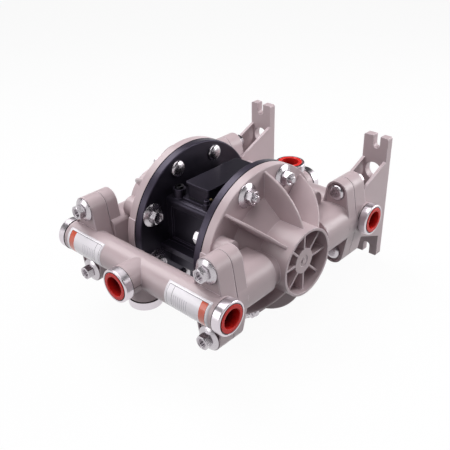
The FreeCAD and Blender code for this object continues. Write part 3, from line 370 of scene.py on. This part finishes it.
def moulded_plastic(
    name, dark, light, edge, roughness, grain, gloss=0.5, sheen=(1, 1, 1), rim=None, painted_hole_shade=None
):
    """Moulded plastic: faint flow marks, a fine grain, and edges lightened by a painted
    highlight.
    """
    material, tree, shader = new_material(name)
    softened = softened_edges(tree, PLASTIC_ROUNDING)
    body = mix_colour(tree, noise(tree, FLOW_WAVES), dark, light)
    if rim:
        # The rim colour is a painted sheen on the outer rims of the black caps
        body = mix_colour(tree, painted_rim_sheen_share(tree), body, rim)
    if painted_hole_shade:
        # Painted shade: the colour darkens deep inside holes
        body = mix_colour(tree, painted_hole_shade_share(tree), painted_hole_shade, body)
    # The edge colour is a painted highlight along the edges
    colour = mix_colour(tree, painted_edge_highlight_share(tree, softened), body, edge)
    tree.links.new(colour, shader.inputs["Base Color"])
    gloss_noise = noise(tree, GLOSS_WAVES)
    rough = spread_between(
        tree, gloss_noise, roughness - PLASTIC_STRAY, roughness + PLASTIC_STRAY
    )
    tree.links.new(rough, shader.inputs["Roughness"])
    normal = bump(tree, noise(tree, GRAIN_WAVES), grain, GRAIN_DEPTH, softened)
    tree.links.new(normal, shader.inputs["Normal"])
    shader.inputs["IOR"].default_value = PLASTIC_IOR
    shader.inputs["Specular IOR Level"].default_value = gloss
    shader.inputs["Specular Tint"].default_value = (*sheen, 1.0)
    return material


def metal(name, dark, light, roughness, lines):
    """Machined or rolled metal with fine lines and small changes of gloss."""
    material, tree, shader = new_material(name)
    softened = softened_edges(tree, METAL_ROUNDING)
    colour = mix_colour(tree, noise(tree, METAL_TONE_WAVES), dark, light)
    tree.links.new(colour, shader.inputs["Base Color"])
    shader.inputs["Metallic"].default_value = 1.0
    wear = noise(tree, METAL_WEAR_WAVES)
    rough = spread_between(tree, wear, *(roughness * share for share in METAL_STRAY))
    tree.links.new(rough, shader.inputs["Roughness"])
    normal = bump(tree, noise(tree, METAL_LINE_WAVES), lines, METAL_LINE_DEPTH, softened)
    tree.links.new(normal, shader.inputs["Normal"])
    return material


def printed(name, dark, light, roughness):
    """Paper or ink with a faint fibre mottle under a clear film."""
    material, tree, shader = new_material(name)
    colour = mix_colour(tree, noise(tree, FIBRE_TONE_WAVES), dark, light)
    tree.links.new(colour, shader.inputs["Base Color"])
    gloss = noise(tree, FIBRE_GLOSS_WAVES)
    rough = spread_between(tree, gloss, roughness - PRINT_STRAY, roughness + PRINT_STRAY)
    tree.links.new(rough, shader.inputs["Roughness"])
    fibres = bump(tree, noise(tree, FIBRE_WAVES), FIBRE_STRENGTH, FIBRE_DEPTH)
    tree.links.new(fibres, shader.inputs["Normal"])
    shader.inputs["Coat Weight"].default_value = FILM_WEIGHT
    shader.inputs["Coat Roughness"].default_value = FILM_ROUGHNESS
    return material


def make_materials():
    # The third colour of each plastic is a painted highlight on its edges
    return {
        "tan": moulded_plastic(
            "tan_plastic", linear(192, 173, 177), linear(200, 181, 185), linear(231, 217, 225),
            roughness=0.33, grain=0.12,
        ),
        # A darker tan: painted shade along the parting lines
        "seam_painted_shade": moulded_plastic(
            "tan_seam_painted_shade", linear(108, 92, 94), linear(120, 103, 105), linear(134, 117, 119),
            roughness=0.5, grain=0.05, gloss=0.2,
        ),
        "black": moulded_plastic(
            "black_plastic", linear(19, 17, 23), linear(24, 21, 29), linear(62, 57, 72),
            roughness=0.36, grain=0.22, gloss=0.55, sheen=(0.82, 0.72, 1.0),
        ),
        "disc": moulded_plastic(
            "black_disc_plastic", linear(19, 17, 23), linear(24, 21, 29), linear(66, 61, 76),
            roughness=0.36, grain=0.22, gloss=0.55, sheen=(0.82, 0.72, 1.0),
            # A painted sheen, lighter than the black, on the caps' outer rims
            rim=linear(50, 45, 57),
        ),
        "red": moulded_plastic(
            "red_plastic", linear(222, 40, 36), linear(232, 48, 44), linear(244, 104, 96),
            # A dark red, painted shade deep inside the plugs' holes
            roughness=0.28, grain=0.04, gloss=0.25, painted_hole_shade=linear(46, 2, 4),
        ),
        "rubber": moulded_plastic(
            "rubber", linear(20, 20, 21), linear(28, 28, 29), linear(40, 40, 41),
            roughness=0.7, grain=0.4,
        ),
        "dark_rubber": moulded_plastic(
            "dark_rubber", linear(5, 5, 6), linear(8, 8, 9), linear(12, 12, 13),
            roughness=0.9, grain=0.2, gloss=0.05,
        ),
        "white": moulded_plastic(
            "white_plastic", linear(222, 220, 212), linear(232, 230, 224), linear(240, 238, 234),
            roughness=0.3, grain=0.05,
        ),
        "steel": metal(
            "bright_steel", linear(186, 180, 185), linear(202, 196, 201),
            roughness=0.26, lines=0.003,
        ),
        "band": metal(
            "band_steel", linear(208, 200, 206), linear(220, 212, 218),
            roughness=0.3, lines=0.003,
        ),
        "black_steel": metal(
            "black_steel", linear(40, 40, 44), linear(58, 58, 62), roughness=0.3, lines=0.1,
        ),
        "rod_steel": metal(
            "rod_steel", linear(190, 190, 194), linear(210, 210, 214),
            roughness=0.12, lines=0.05,
        ),
        "aluminium": metal(
            "aluminium", linear(200, 200, 204), linear(216, 216, 220),
            roughness=0.32, lines=0.2,
        ),
        "brass": metal(
            "brass", linear(140, 122, 92), linear(158, 140, 108), roughness=0.36, lines=0.02,
        ),
        "bronze": metal(
            "bronze", linear(176, 128, 70), linear(196, 148, 88), roughness=0.3, lines=0.15,
        ),
        "paper": printed(
            "label_paper", linear(252, 246, 254), linear(255, 250, 255), roughness=0.38,
        ),
        "ink": printed("label_ink", linear(52, 48, 52), linear(70, 66, 70), roughness=0.4),
        "pale_ink": printed(
            "label_pale_ink", linear(196, 190, 200), linear(212, 207, 216), roughness=0.4,
        ),
        "orange_ink": printed(
            "label_orange_ink", linear(214, 84, 56), linear(228, 100, 72), roughness=0.36,
        ),
    }


NODE_MATERIALS = {
    "tan": ("fluid_cap_right", "fluid_cap_left", "outlet_manifold", "inlet_manifold"),
    "black": ("center_body", "valve_block", "valve_cover", "valve_end_plug"),
    "disc": ("air_cap_right", "air_cap_left"),
    "red": ("outlet_port_plugs", "inlet_port_plugs"),
    "rubber": (
        "diaphragm_right", "diaphragm_left", "valve_gasket", "seat_seal_outlet_right",
        "seat_seal_outlet_left", "seat_seal_inlet_right", "seat_seal_inlet_left",
    ),
    "white": (
        "ball_outlet_right", "ball_outlet_left", "ball_inlet_right", "ball_inlet_left",
        "seat_outlet_right", "seat_outlet_left", "seat_inlet_right", "seat_inlet_left",
    ),
    "steel": (
        "cap_bolts_right", "cap_bolts_left", "cap_nuts_right", "cap_nuts_left",
        "cap_washers_right", "cap_washers_left", "outlet_flange_bolts", "inlet_flange_bolts",
        "outlet_flange_washers", "inlet_flange_washers", "outlet_flange_nuts",
        "inlet_flange_nuts",
    ),
    "band": ("outlet_port_bands", "inlet_port_bands"),
    "black_steel": ("body_screws",),
    "rod_steel": ("diaphragm_rod", "pilot_rod", "rod_nut_right", "rod_nut_left"),
    "aluminium": (
        "inner_washer_right", "inner_washer_left", "outer_washer_right", "outer_washer_left",
        "valve_spool",
    ),
    "bronze": ("rod_bushings",),
}


def dress_nodes(nodes, materials):
    for kind, names in NODE_MATERIALS.items():
        for name in names:
            mesh = nodes[name].data
            mesh.materials.clear()
            mesh.materials.append(materials[kind])


# Mesh pieces

def turned_to(axis):
    """Rotation that takes local +Z to an axis."""
    return Vector(axis).to_track_quat("Z", "Y").to_matrix().to_4x4()


def placed(x, y, z, axis, spin=0.0):
    """Matrix from local millimetres, standing on local +Z, to the pump's frame in metres."""
    move = Matrix.Translation(ROD_MIDDLE + Vector((x, y, z)) * MM)
    turn = Matrix.Rotation(math.radians(spin), 4, "Z")
    return move @ turned_to(axis) @ turn @ Matrix.Scale(MM, 4)


def around(angle, radius, height=0.0):
    """A point at an angle round local Z, at a distance from it."""
    return Vector((radius * math.cos(angle), radius * math.sin(angle), height))


def circle(radius, height):
    """A ring as add_rings takes it: the radius and the height at each angle."""
    return lambda angle: (radius, height)


def hexagon(flats, height, corner_drop=0.0):
    """A ring on a hexagon; its corners may drop, as a chamfer turned on a hexagon does."""
    def ring(angle):
        within = (angle + math.pi / 6) % (math.pi / 3) - math.pi / 6
        radius = flats / 2 / math.cos(within)
        corner = flats / math.sqrt(3) - flats / 2
        return radius, height - corner_drop * (radius - flats / 2) / corner
    return ring


def helix(radius, depth, pitch, height):
    """A ring of a screw thread: its radius follows the thread round the shank."""
    def ring(angle):
        turn = (height / pitch - angle / (2 * math.pi)) % 1.0
        return radius - depth * abs(2 * turn - 1), height
    return ring


def add_rings(mesh, matrix, rings, segments=48):
    """Joins rings of points into a skin; a ring of no radius closes it at the axis."""
    rows = []
    for ring in rings:
        angles = [2 * math.pi * step / segments for step in range(segments)]
        row = [around(angle, *ring(angle)) for angle in angles]
        if max(point.xy.length for point in row) < 1e-6:
            row = [mesh.verts.new(matrix @ row[0])]
        else:
            row = [mesh.verts.new(matrix @ point) for point in row]
        rows.append(row)
    for lower, upper in zip(rows, rows[1:]):
        for step in range(segments):
            after = (step + 1) % segments
            corners = [
                lower[step % len(lower)], lower[after % len(lower)],
                upper[after % len(upper)], upper[step % len(upper)],
            ]
            face = mesh.faces.new(list(dict.fromkeys(corners)))
            face.smooth = True


def add_grid(mesh, rows, slots):
    """A sheet through rows of points, with a material slot for each cell."""
    verts = [[mesh.verts.new(point) for point in row] for row in rows]
    for i, (lower, upper) in enumerate(zip(verts, verts[1:])):
        for j in range(len(lower) - 1):
            face = mesh.faces.new((lower[j], lower[j + 1], upper[j + 1], upper[j]))
            face.material_index = slots(i, j)
            face.smooth = True


def finish_piece(name, mesh, materials, replaces=(), body="root", flex=None):
    """Turns a mesh into a piece that rides on a body, or, given flex, one whose placing is baked
    into its mesh.
    """
    bmesh.ops.recalc_face_normals(mesh, faces=mesh.faces)
    sharp = math.radians(SHARP_ANGLE)
    for edge in mesh.edges:
        if len(edge.link_faces) == 2 and edge.calc_face_angle(0.0) > sharp:
            edge.smooth = False
    data = bpy.data.meshes.new(name)
    mesh.to_mesh(data)
    mesh.free()
    for material in materials:
        data.materials.append(material)
    piece = bpy.data.objects.new(name, data)
    bpy.context.scene.collection.objects.link(piece)
    if flex:
        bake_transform(piece)
    else:
        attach(piece, body)
    if replaces:
        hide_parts(*replaces)
    return piece


# Fasteners

def cap_bolt_places():
    """Angle of each bolt of a round cap, and whether it stands beside a neck."""
    places = []
    for turn in range(BOLT_COUNT):
        angle = FIRST_BOLT + turn * BOLT_STEP
        up = BOLT_CIRCLE * math.sin(math.radians(angle))
        places.append((angle, abs(up) < FLANGE_BOLT_UP))
    return places


def washer_rings(outer):
    """A conical washer: a thin upright edge and a straight slope up to the hexagon."""
    return [
        circle(SHANK_RADIUS, 0.0), circle(outer - 0.25, 0.0), circle(outer, 0.2),
        circle(outer, 0.8), circle(outer - 0.3, 1.05),
        circle(WASHER_TOP, WASHER_HEIGHT - 0.1), circle(WASHER_TOP - 0.3, WASHER_HEIGHT),
        circle(SHANK_RADIUS, WASHER_HEIGHT), circle(SHANK_RADIUS, 0.0),
    ]


def hexagon_side(height):
    """The sides of a hexagon from its foot to the rim of its top, chamfered at both ends."""
    return [
        circle(HEX_FLATS / 2 - 0.2, 0.0), hexagon(HEX_FLATS, HEX_FOOT, -0.3),
        hexagon(HEX_FLATS, height - 0.2, HEX_CHAMFER), circle(HEX_FLATS / 2 - HEX_TOP, height),
    ]


def nut_rings(height, mouth, dish):
    """A nut whose top is dished round its thread."""
    return [
        circle(SHANK_RADIUS, 0.0), *hexagon_side(height),
        circle(mouth + 0.3, height), circle(mouth, height - 0.3),
        circle(mouth - 0.15, height - dish), circle(SHANK_RADIUS, height - dish - 0.2),
        circle(SHANK_RADIUS, 0.0),
    ]


def head_rings(height):
    """A hexagon head with a deep dished top."""
    return [
        circle(0.0, 0.0), *hexagon_side(height),
        circle(5.1, height), circle(4.7, height - 0.35), circle(4.2, height - 1.9),
        circle(3.8, height - 2.1), circle(1.6, height - 1.8), circle(0.0, height - 1.75),
    ]


def dome_rings(radius, height):
    """A round bolt head: a thin upright edge under a smooth dome."""
    rings = [
        circle(0.0, 0.0), circle(radius - 0.15, 0.0), circle(radius, 0.2),
        circle(radius, ROUND_HEAD_EDGE),
    ]
    rise = height - ROUND_HEAD_EDGE
    for step in range(1, DOME_STEPS):
        turn = math.radians(90 * step / DOME_STEPS)
        rings.append(circle(radius * math.cos(turn), ROUND_HEAD_EDGE + rise * math.sin(turn)))
    return rings + [circle(0.0, height)]


def thread_rings(end):
    """A screw thread up to a chamfered end."""
    root = SHANK_RADIUS - THREAD_DEPTH
    rings = [circle(0.0, 0.0), circle(root, 0.0)]
    count = round(end / THREAD_PITCH * RINGS_PER_TURN)
    for step in range(count + 1):
        height = (end - THREAD_END) * step / count
        rings.append(helix(SHANK_RADIUS, THREAD_DEPTH, THREAD_PITCH, height))
    rings += [circle(root, end - 0.5), circle(SHANK_RADIUS - 1.1, end), circle(0.0, end)]
    return rings


def cap_fasteners(side, side_name, materials):
    """Bolts, conical washers and nuts of one pair of round caps; the bolts that go right
    through have round heads, and those beside the necks have hexagon heads on washers."""
    bolts, nuts, washers = bmesh.new(), bmesh.new(), bmesh.new()
    out, back = (side, 0, 0), (-side, 0, 0)
    through = RIM_FACE - BODY_FACE + WASHER_HEIGHT + NUT_HEIGHT + THREAD_PROUD
    for index, (angle, beside_neck) in enumerate(cap_bolt_places()):
        along = BOLT_CIRCLE * math.cos(math.radians(angle))
        up = BOLT_CIRCLE * math.sin(math.radians(angle))
        spin = HEAD_SPIN + HEAD_SPIN_STEP * index + (RIGHT_SPIN if side > 0 else 0.0)
        inner = placed(side * BODY_FACE, along, up, back, spin)
        if beside_neck:
            add_rings(washers, inner, washer_rings(CAP_WASHER))
            head = placed(side * (BODY_FACE - WASHER_HEIGHT), along, up, back, spin)
            add_rings(bolts, head, head_rings(HEAD_HEIGHT))
            shank = placed(side * (BODY_FACE - WASHER_HEIGHT), along, up, out)
            add_rings(bolts, shank, thread_rings(BLIND_BOLT))
            continue
        add_rings(bolts, inner, dome_rings(ROUND_HEAD_RADIUS, ROUND_HEAD_HEIGHT))
        shank = placed(side * BODY_FACE, along, up, out)
        add_rings(bolts, shank, thread_rings(through))
        seat = placed(side * RIM_FACE, along, up, out, spin + NUT_SPIN)
        add_rings(washers, seat, washer_rings(CAP_WASHER))
        nut = placed(side * (RIM_FACE + WASHER_HEIGHT), along, up, out, spin + NUT_SPIN)
        add_rings(nuts, nut, nut_rings(NUT_HEIGHT, mouth=4.6, dish=0.4))
    steel = [materials["steel"]]
    for kind, mesh in (("bolts", bolts), ("nuts", nuts), ("washers", washers)):
        finish_piece(f"dressed_cap_{kind}_{side_name}", mesh, steel,
                     replaces=(f"cap_{kind}_{side_name}",))


def flange_fasteners(side, name, materials):
    """Washers and nuts outside the four lugs of one manifold; the bolt ends sit in the nuts."""
    nuts, washers = bmesh.new(), bmesh.new()
    out = (0, side, 0)
    places = [
        (across, up)
        for across in (FLANGE_BOLT_ACROSS, -FLANGE_BOLT_ACROSS)
        for up in (FLANGE_BOLT_UP, -FLANGE_BOLT_UP)
    ]
    for index, (across, up) in enumerate(places):
        spin = FLANGE_SPIN + FLANGE_SPIN_STEP * index
        seat = placed(across, side * FLANGE_FACE, up, out, spin)
        add_rings(washers, seat, washer_rings(FLANGE_WASHER))
        top = placed(across, side * (FLANGE_FACE + WASHER_HEIGHT), up, out, spin)
        add_rings(nuts, top, nut_rings(HEAD_HEIGHT, mouth=4.9, dish=0.8))
    steel = [materials["steel"]]
    for kind, mesh in (("nuts", nuts), ("washers", washers)):
        finish_piece(f"dressed_{name}_flange_{kind}", mesh, steel,
                     replaces=(f"{name}_flange_{kind}",))


# Diaphragms and small fittings

def diaphragm_edge(side, side_name, materials):
    """The edge of the rubber diaphragm, a thin dark line between the two round caps."""
    edge = bmesh.new()
    start = placed(side * (DIAPHRAGM_EDGE - EDGE_LINE_BELOW), 0, 0, (side, 0, 0))
    inside, corner, proud = DISC_RADIUS - 0.6, DISC_RADIUS + 0.04, DISC_RADIUS + 0.1
    add_rings(edge, start, [
        circle(inside, 0.0), circle(corner, 0.0), circle(proud, 0.2),
        circle(proud, EDGE_LINE_WIDTH - 0.2), circle(corner, EDGE_LINE_WIDTH),
        circle(inside, EDGE_LINE_WIDTH), circle(inside, 0.0),
    ], segments=144)
    finish_piece(f"diaphragm_edge_{side_name}", edge, [materials["dark_rubber"]])


def rubber_sector(matrix, first, last):
    """One closed sector of a diaphragm between two angles, with its rolled convolution."""
    mesh = bmesh.new()
    loop = DIAPHRAGM_UNDER + tuple(reversed(DIAPHRAGM_TOP))
    rows = []
    for step in range(SECTOR_STEPS + 1):
        angle = math.radians(first + (last - first) * step / SECTOR_STEPS)
        rows.append([
            mesh.verts.new(matrix @ around(angle, radius, height)) for radius, height in loop
        ])
    for row, after in zip(rows, rows[1:]):
        for index in range(len(loop)):
            nearest = (index + 1) % len(loop)
            face = mesh.faces.new((row[index], row[nearest], after[nearest], after[index]))
            face.smooth = True
    mesh.faces.new(rows[0])
    mesh.faces.new(rows[-1])
    return mesh


def diaphragm_rubber(side, side_name, materials):
    """The rubber diaphragm, drawn in sectors that are baked in place; its rim stays clamped."""
    matrix = placed(side * DIAPHRAGM_EDGE, 0, 0, (side, 0, 0))
    width = 360.0 / SECTORS
    for number in range(SECTORS):
        first = number * width
        outward = math.radians(first + width / 2)
        flex = [matrix @ around(outward, radius) for radius in (FLEX_OUTER, FLEX_INNER)]
        finish_piece(
            f"diaphragm_{side_name}_sector_{number + 1}",
            rubber_sector(matrix, first, first + width), [materials["rubber"]],
            replaces=(f"diaphragm_{side_name}",), flex=flex,
        )


def small_fittings(materials):
    """A low screw on its boss before the valve block, and a small brass plug in its side."""
    screw = bmesh.new()
    section = [circle(*point) for point in SADDLE_SCREW_SECTION]
    add_rings(screw, placed(*SADDLE_SCREW, (0, 0, 1)), section, segments=32)
    finish_piece("saddle_screw", screw, [materials["black"]])
    plug = bmesh.new()
    add_rings(plug, placed(*BLOCK_PLUG, (1, 0, 0)), [
        circle(0.0, 0.0), circle(1.5, 0.0), circle(1.5, 1.0), circle(1.3, 1.1),
        hexagon(PLUG_FLATS, 1.1), hexagon(PLUG_FLATS, 2.2, 0.2), circle(0.7, 2.3),
        circle(0.6, 1.8), circle(0.0, 1.8),
    ], segments=36)
    finish_piece("block_plug", plug, [materials["brass"]])


# Seals and parting lines of the manifolds

def port_seals(side, name, materials):
    """A dark seal behind the bright band of each port; the inlet manifold is turned over."""
    seals = bmesh.new()
    centre = side * PIPE_OFFSET
    behind = BAND_LENGTH + SEAL_WIDTH + BAND_GAP
    for place, axis, radius in (
        ((PORT_REACH - behind, centre, 0), (1, 0, 0), PIPE_RADIUS),
        ((behind - PORT_REACH, centre, 0), (-1, 0, 0), PIPE_RADIUS),
        ((0, centre + side * (BRANCH_REACH - behind), 0), (0, side, 0), BRANCH_RADIUS),
        ((0, centre, side * (BRANCH_REACH - behind)), (0, 0, side), BRANCH_RADIUS),
    ):
        inside, corner, proud = radius - 0.3, radius + 0.1, radius + SEAL_PROUD
        add_rings(seals, placed(*place, axis), [
            circle(inside, 0.0), circle(corner, 0.0), circle(proud, 0.15),
            circle(proud, SEAL_WIDTH - 0.15), circle(corner, SEAL_WIDTH),
            circle(inside, SEAL_WIDTH), circle(inside, 0.0),
        ], segments=96)
    finish_piece(f"{name}_port_seals", seals, [materials["dark_rubber"]])


def branch_seams(side, name, materials):
    """The thin parting line that the mould leaves along both sides of the end branch, in a
    darker tan that paints shade along it.
    """
    seams = bmesh.new()
    start = side * (PIPE_OFFSET + BRANCH_RADIUS + SEAM_START)
    length = BRANCH_REACH - BRANCH_RADIUS - SEAM_START - BAND_LENGTH - SEAL_WIDTH
    tip = 0.8 * SEAM_RADIUS
    for across in (-BRANCH_RADIUS, BRANCH_RADIUS):
        add_rings(seams, placed(across, start, 0, (0, side, 0)), [
            circle(0.0, 0.0), circle(tip, 0.0), circle(SEAM_RADIUS, 0.3),
            circle(SEAM_RADIUS, length - 0.3), circle(tip, length), circle(0.0, length),
        ], segments=12)
    finish_piece(f"{name}_branch_seams", seams, [materials["seam_painted_shade"]])


# Labels on the outlet pipe, left blank

def label_columns():
    """Distances along the pipe of all of a label's columns, and of its blank rules alone."""
    across = [0.0, LABEL_SIDE_MARGIN, LABEL_SIDE_MARGIN + LABEL_SIDE_LINE]
    across += [LABEL_COLUMN, LABEL_COLUMN + LABEL_SIDE_LINE]
    rules = [FIRST_RULE + RULE_STEP * step for step in range(RULE_COUNT)]
    for start in rules:
        across += [start, start + RULE_WIDTH]
    across += [*END_BAND, END_BAND[1] + LABEL_SIDE_LINE, LABEL_LENGTH]
    return across, rules


def label_angles():
    """Angles round the pipe of a label's borders and of the steps over its face."""
    border = LABEL_MARGIN + LABEL_LINE
    degrees = [LABEL_BOTTOM, LABEL_BOTTOM + LABEL_MARGIN, LABEL_BOTTOM + border]
    for step in range(1, LABEL_STEPS + 1):
        degrees.append(LABEL_BOTTOM + border + LABEL_FACE * step / LABEL_STEPS)
    return degrees + [LABEL_TOP - border, LABEL_TOP - LABEL_MARGIN, LABEL_TOP]


def label(name, inner, reach, materials):
    """A printed label bent round the front of the pipe: a border, an end band, blank rules."""
    radius = PIPE_RADIUS + LABEL_LIFT
    across, rules = label_columns()
    rows = []
    for angle in label_angles():
        turn = math.radians(angle)
        rows.append([
            ROD_MIDDLE + MM * Vector((
                inner + reach * distance,
                -PIPE_OFFSET - radius * math.cos(turn),
                radius * math.sin(turn),
            )) for distance in across
        ])
    last_row, last_column = len(rows) - 2, len(across) - 2
    paper, ink, pale_ink, orange_ink = range(4)

    def slot(row, column):
        start, middle = across[column], (across[column] + across[column + 1]) / 2
        if row in (0, last_row) or column in (0, last_column):
            return paper
        if row in (1, last_row - 1) or column in (1, last_column - 1):
            return ink
        if END_BAND[0] <= middle <= END_BAND[1]:
            return orange_ink
        if start == LABEL_COLUMN:
            return ink
        if start in rules and FIRST_RULE_ROW < row < last_row - RULE_ROWS_FROM_END:
            return pale_ink
        return paper

    mesh = bmesh.new()
    add_grid(mesh, rows, slot)
    inks = [materials[kind] for kind in ("paper", "ink", "pale_ink", "orange_ink")]
    piece = finish_piece(name, mesh, inks)
    thick = piece.modifiers.new("thickness", "SOLIDIFY")
    thick.thickness = LABEL_LIFT * MM
    thick.offset = -1.0


# Light, floor and camera

def soft_light(name, place, size, power):
    """A square lamp turned to the middle of the pump."""
    data = bpy.data.lights.new(name, "AREA")
    data.shape = "SQUARE"
    data.size = size
    data.energy = power
    light = bpy.data.objects.new(name, data)
    bpy.context.scene.collection.objects.link(light)
    light.location = place
    direction = Vector(LIGHT_TARGET) - Vector(place)
    light.rotation_euler = direction.to_track_quat("-Z", "Y").to_euler()


def seen_directly(tree):
    """1 for rays from the camera, off metal or through glass; 0 for rays that light the pump."""
    path = tree.nodes.new("ShaderNodeLightPath")
    camera, glossy = path.outputs["Is Camera Ray"], path.outputs["Is Glossy Ray"]
    either = calculate(tree, "MAXIMUM", camera, glossy)
    return calculate(tree, "MAXIMUM", either, path.outputs["Is Transmission Ray"])


def show_instead(tree, share, lit, shown, output_type):
    """Gives rays that see a surface directly another shader than rays of light get."""
    mix = tree.nodes.new("ShaderNodeMixShader")
    output = next(node for node in tree.nodes if node.type == output_type)
    for socket, source in zip(mix.inputs, (share, lit, shown)):
        tree.links.new(source, socket)
    tree.links.new(mix.outputs[0], output.inputs[0])


def make_world():
    """Faint light from all sides, and what the camera and metal see round the pump."""
    world = bpy.data.worlds.new("studio")
    bpy.context.scene.world = world
    world.use_nodes = True
    tree = world.node_tree
    lighting = next(node for node in tree.nodes if node.type == "BACKGROUND")
    lighting.inputs["Color"].default_value = WORLD_TINT
    lighting.inputs["Strength"].default_value = WORLD_STRENGTH
    # White all round for the camera; metal mirrors a white horizon under a darker ceiling
    backdrop = tree.nodes.new("ShaderNodeBackground")
    place = tree.nodes.new("ShaderNodeTexCoord")
    height = tree.nodes.new("ShaderNodeSeparateXYZ")
    tree.links.new(place.outputs["Generated"], height.inputs[0])
    ceiling = map_range(tree, height.outputs["Z"], CEILING_START, CEILING_END)
    path = tree.nodes.new("ShaderNodeLightPath")
    mirrored = calculate(tree, "SUBTRACT", ceiling, path.outputs["Is Camera Ray"], clamp=True)
    tree.links.new(mix_colour(tree, mirrored, WHITE, CEILING), backdrop.inputs["Color"])
    seen = seen_directly(tree)
    show_instead(tree, seen, lighting.outputs[0], backdrop.outputs[0], "OUTPUT_WORLD")


def make_floor():
    """A wide floor just under the feet, there for light and shadow only."""
    mesh = bmesh.new()
    bmesh.ops.create_grid(mesh, x_segments=FLOOR_CELLS, y_segments=FLOOR_CELLS, size=FLOOR_HALF)
    data = bpy.data.meshes.new("floor")
    mesh.to_mesh(data)
    mesh.free()
    floor = bpy.data.objects.new("floor", data)
    bpy.context.scene.collection.objects.link(floor)
    floor.location.z = -FLOOR_DROP
    material, tree, shader = new_material("pale_floor")
    # A pale floor for the camera, and a darker one for the light that it throws on the pump
    mottle = noise(tree, FLOOR_WAVES)
    grey = mix_colour(tree, mottle, linear(132, 132, 134), linear(138, 138, 140))
    pale = mix_colour(tree, mottle, linear(242, 242, 244), linear(248, 248, 250))
    seen = seen_directly(tree)
    tree.links.new(mix_colour(tree, seen, grey, pale), shader.inputs["Base Color"])
    shader.inputs["Roughness"].default_value = 0.9
    glow = tree.nodes.new("ShaderNodeEmission")
    glow.inputs["Strength"].default_value = 1.0
    share = calculate(tree, "MULTIPLY", seen, FLOOR_GLOW)
    show_instead(tree, share, shader.outputs[0], glow.outputs[0], "OUTPUT_MATERIAL")
    data.materials.append(material)


def make_camera():
    """A camera turned about the pump, raised and rolled."""
    azimuth = math.radians(CAMERA_AZIMUTH)
    elevation = math.radians(CAMERA_ELEVATION)
    roll = math.radians(CAMERA_ROLL)
    back = Vector((
        math.sin(azimuth) * math.cos(elevation),
        -math.cos(azimuth) * math.cos(elevation),
        math.sin(elevation),
    ))
    level = Vector((math.cos(azimuth), math.sin(azimuth), 0))
    upright = back.cross(level)
    right = level * math.cos(roll) + upright * math.sin(roll)
    up = upright * math.cos(roll) - level * math.sin(roll)
    data = bpy.data.cameras.new("camera")
    data.sensor_width = CAMERA_SENSOR
    data.lens = CAMERA_LENS
    data.clip_start, data.clip_end = CAMERA_CLIP
    camera = bpy.data.objects.new("camera", data)
    bpy.context.scene.collection.objects.link(camera)
    turn = Matrix((right, up, back)).transposed().to_4x4()
    camera.matrix_world = Matrix.Translation(CAMERA_TARGET + back * CAMERA_DISTANCE) @ turn
    bpy.context.scene.camera = camera


def main():
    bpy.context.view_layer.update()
    materials = make_materials()
    dress_nodes(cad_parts, materials)
    for side, side_name in ((1, "right"), (-1, "left")):
        cap_fasteners(side, side_name, materials)
        diaphragm_edge(side, side_name, materials)
        diaphragm_rubber(side, side_name, materials)
    for side, name in ((-1, "outlet"), (1, "inlet")):
        flange_fasteners(side, name, materials)
        port_seals(side, name, materials)
        branch_seams(side, name, materials)
    small_fittings(materials)
    for name, inner, reach in LABEL_PLACES:
        label(name, inner, reach, materials)
    make_world()
    make_floor()
    for name, place, size, power in LIGHTS:
        soft_light(name, place, size, power)
    make_camera()
    bpy.context.scene.view_settings.view_transform = "Standard"


main()
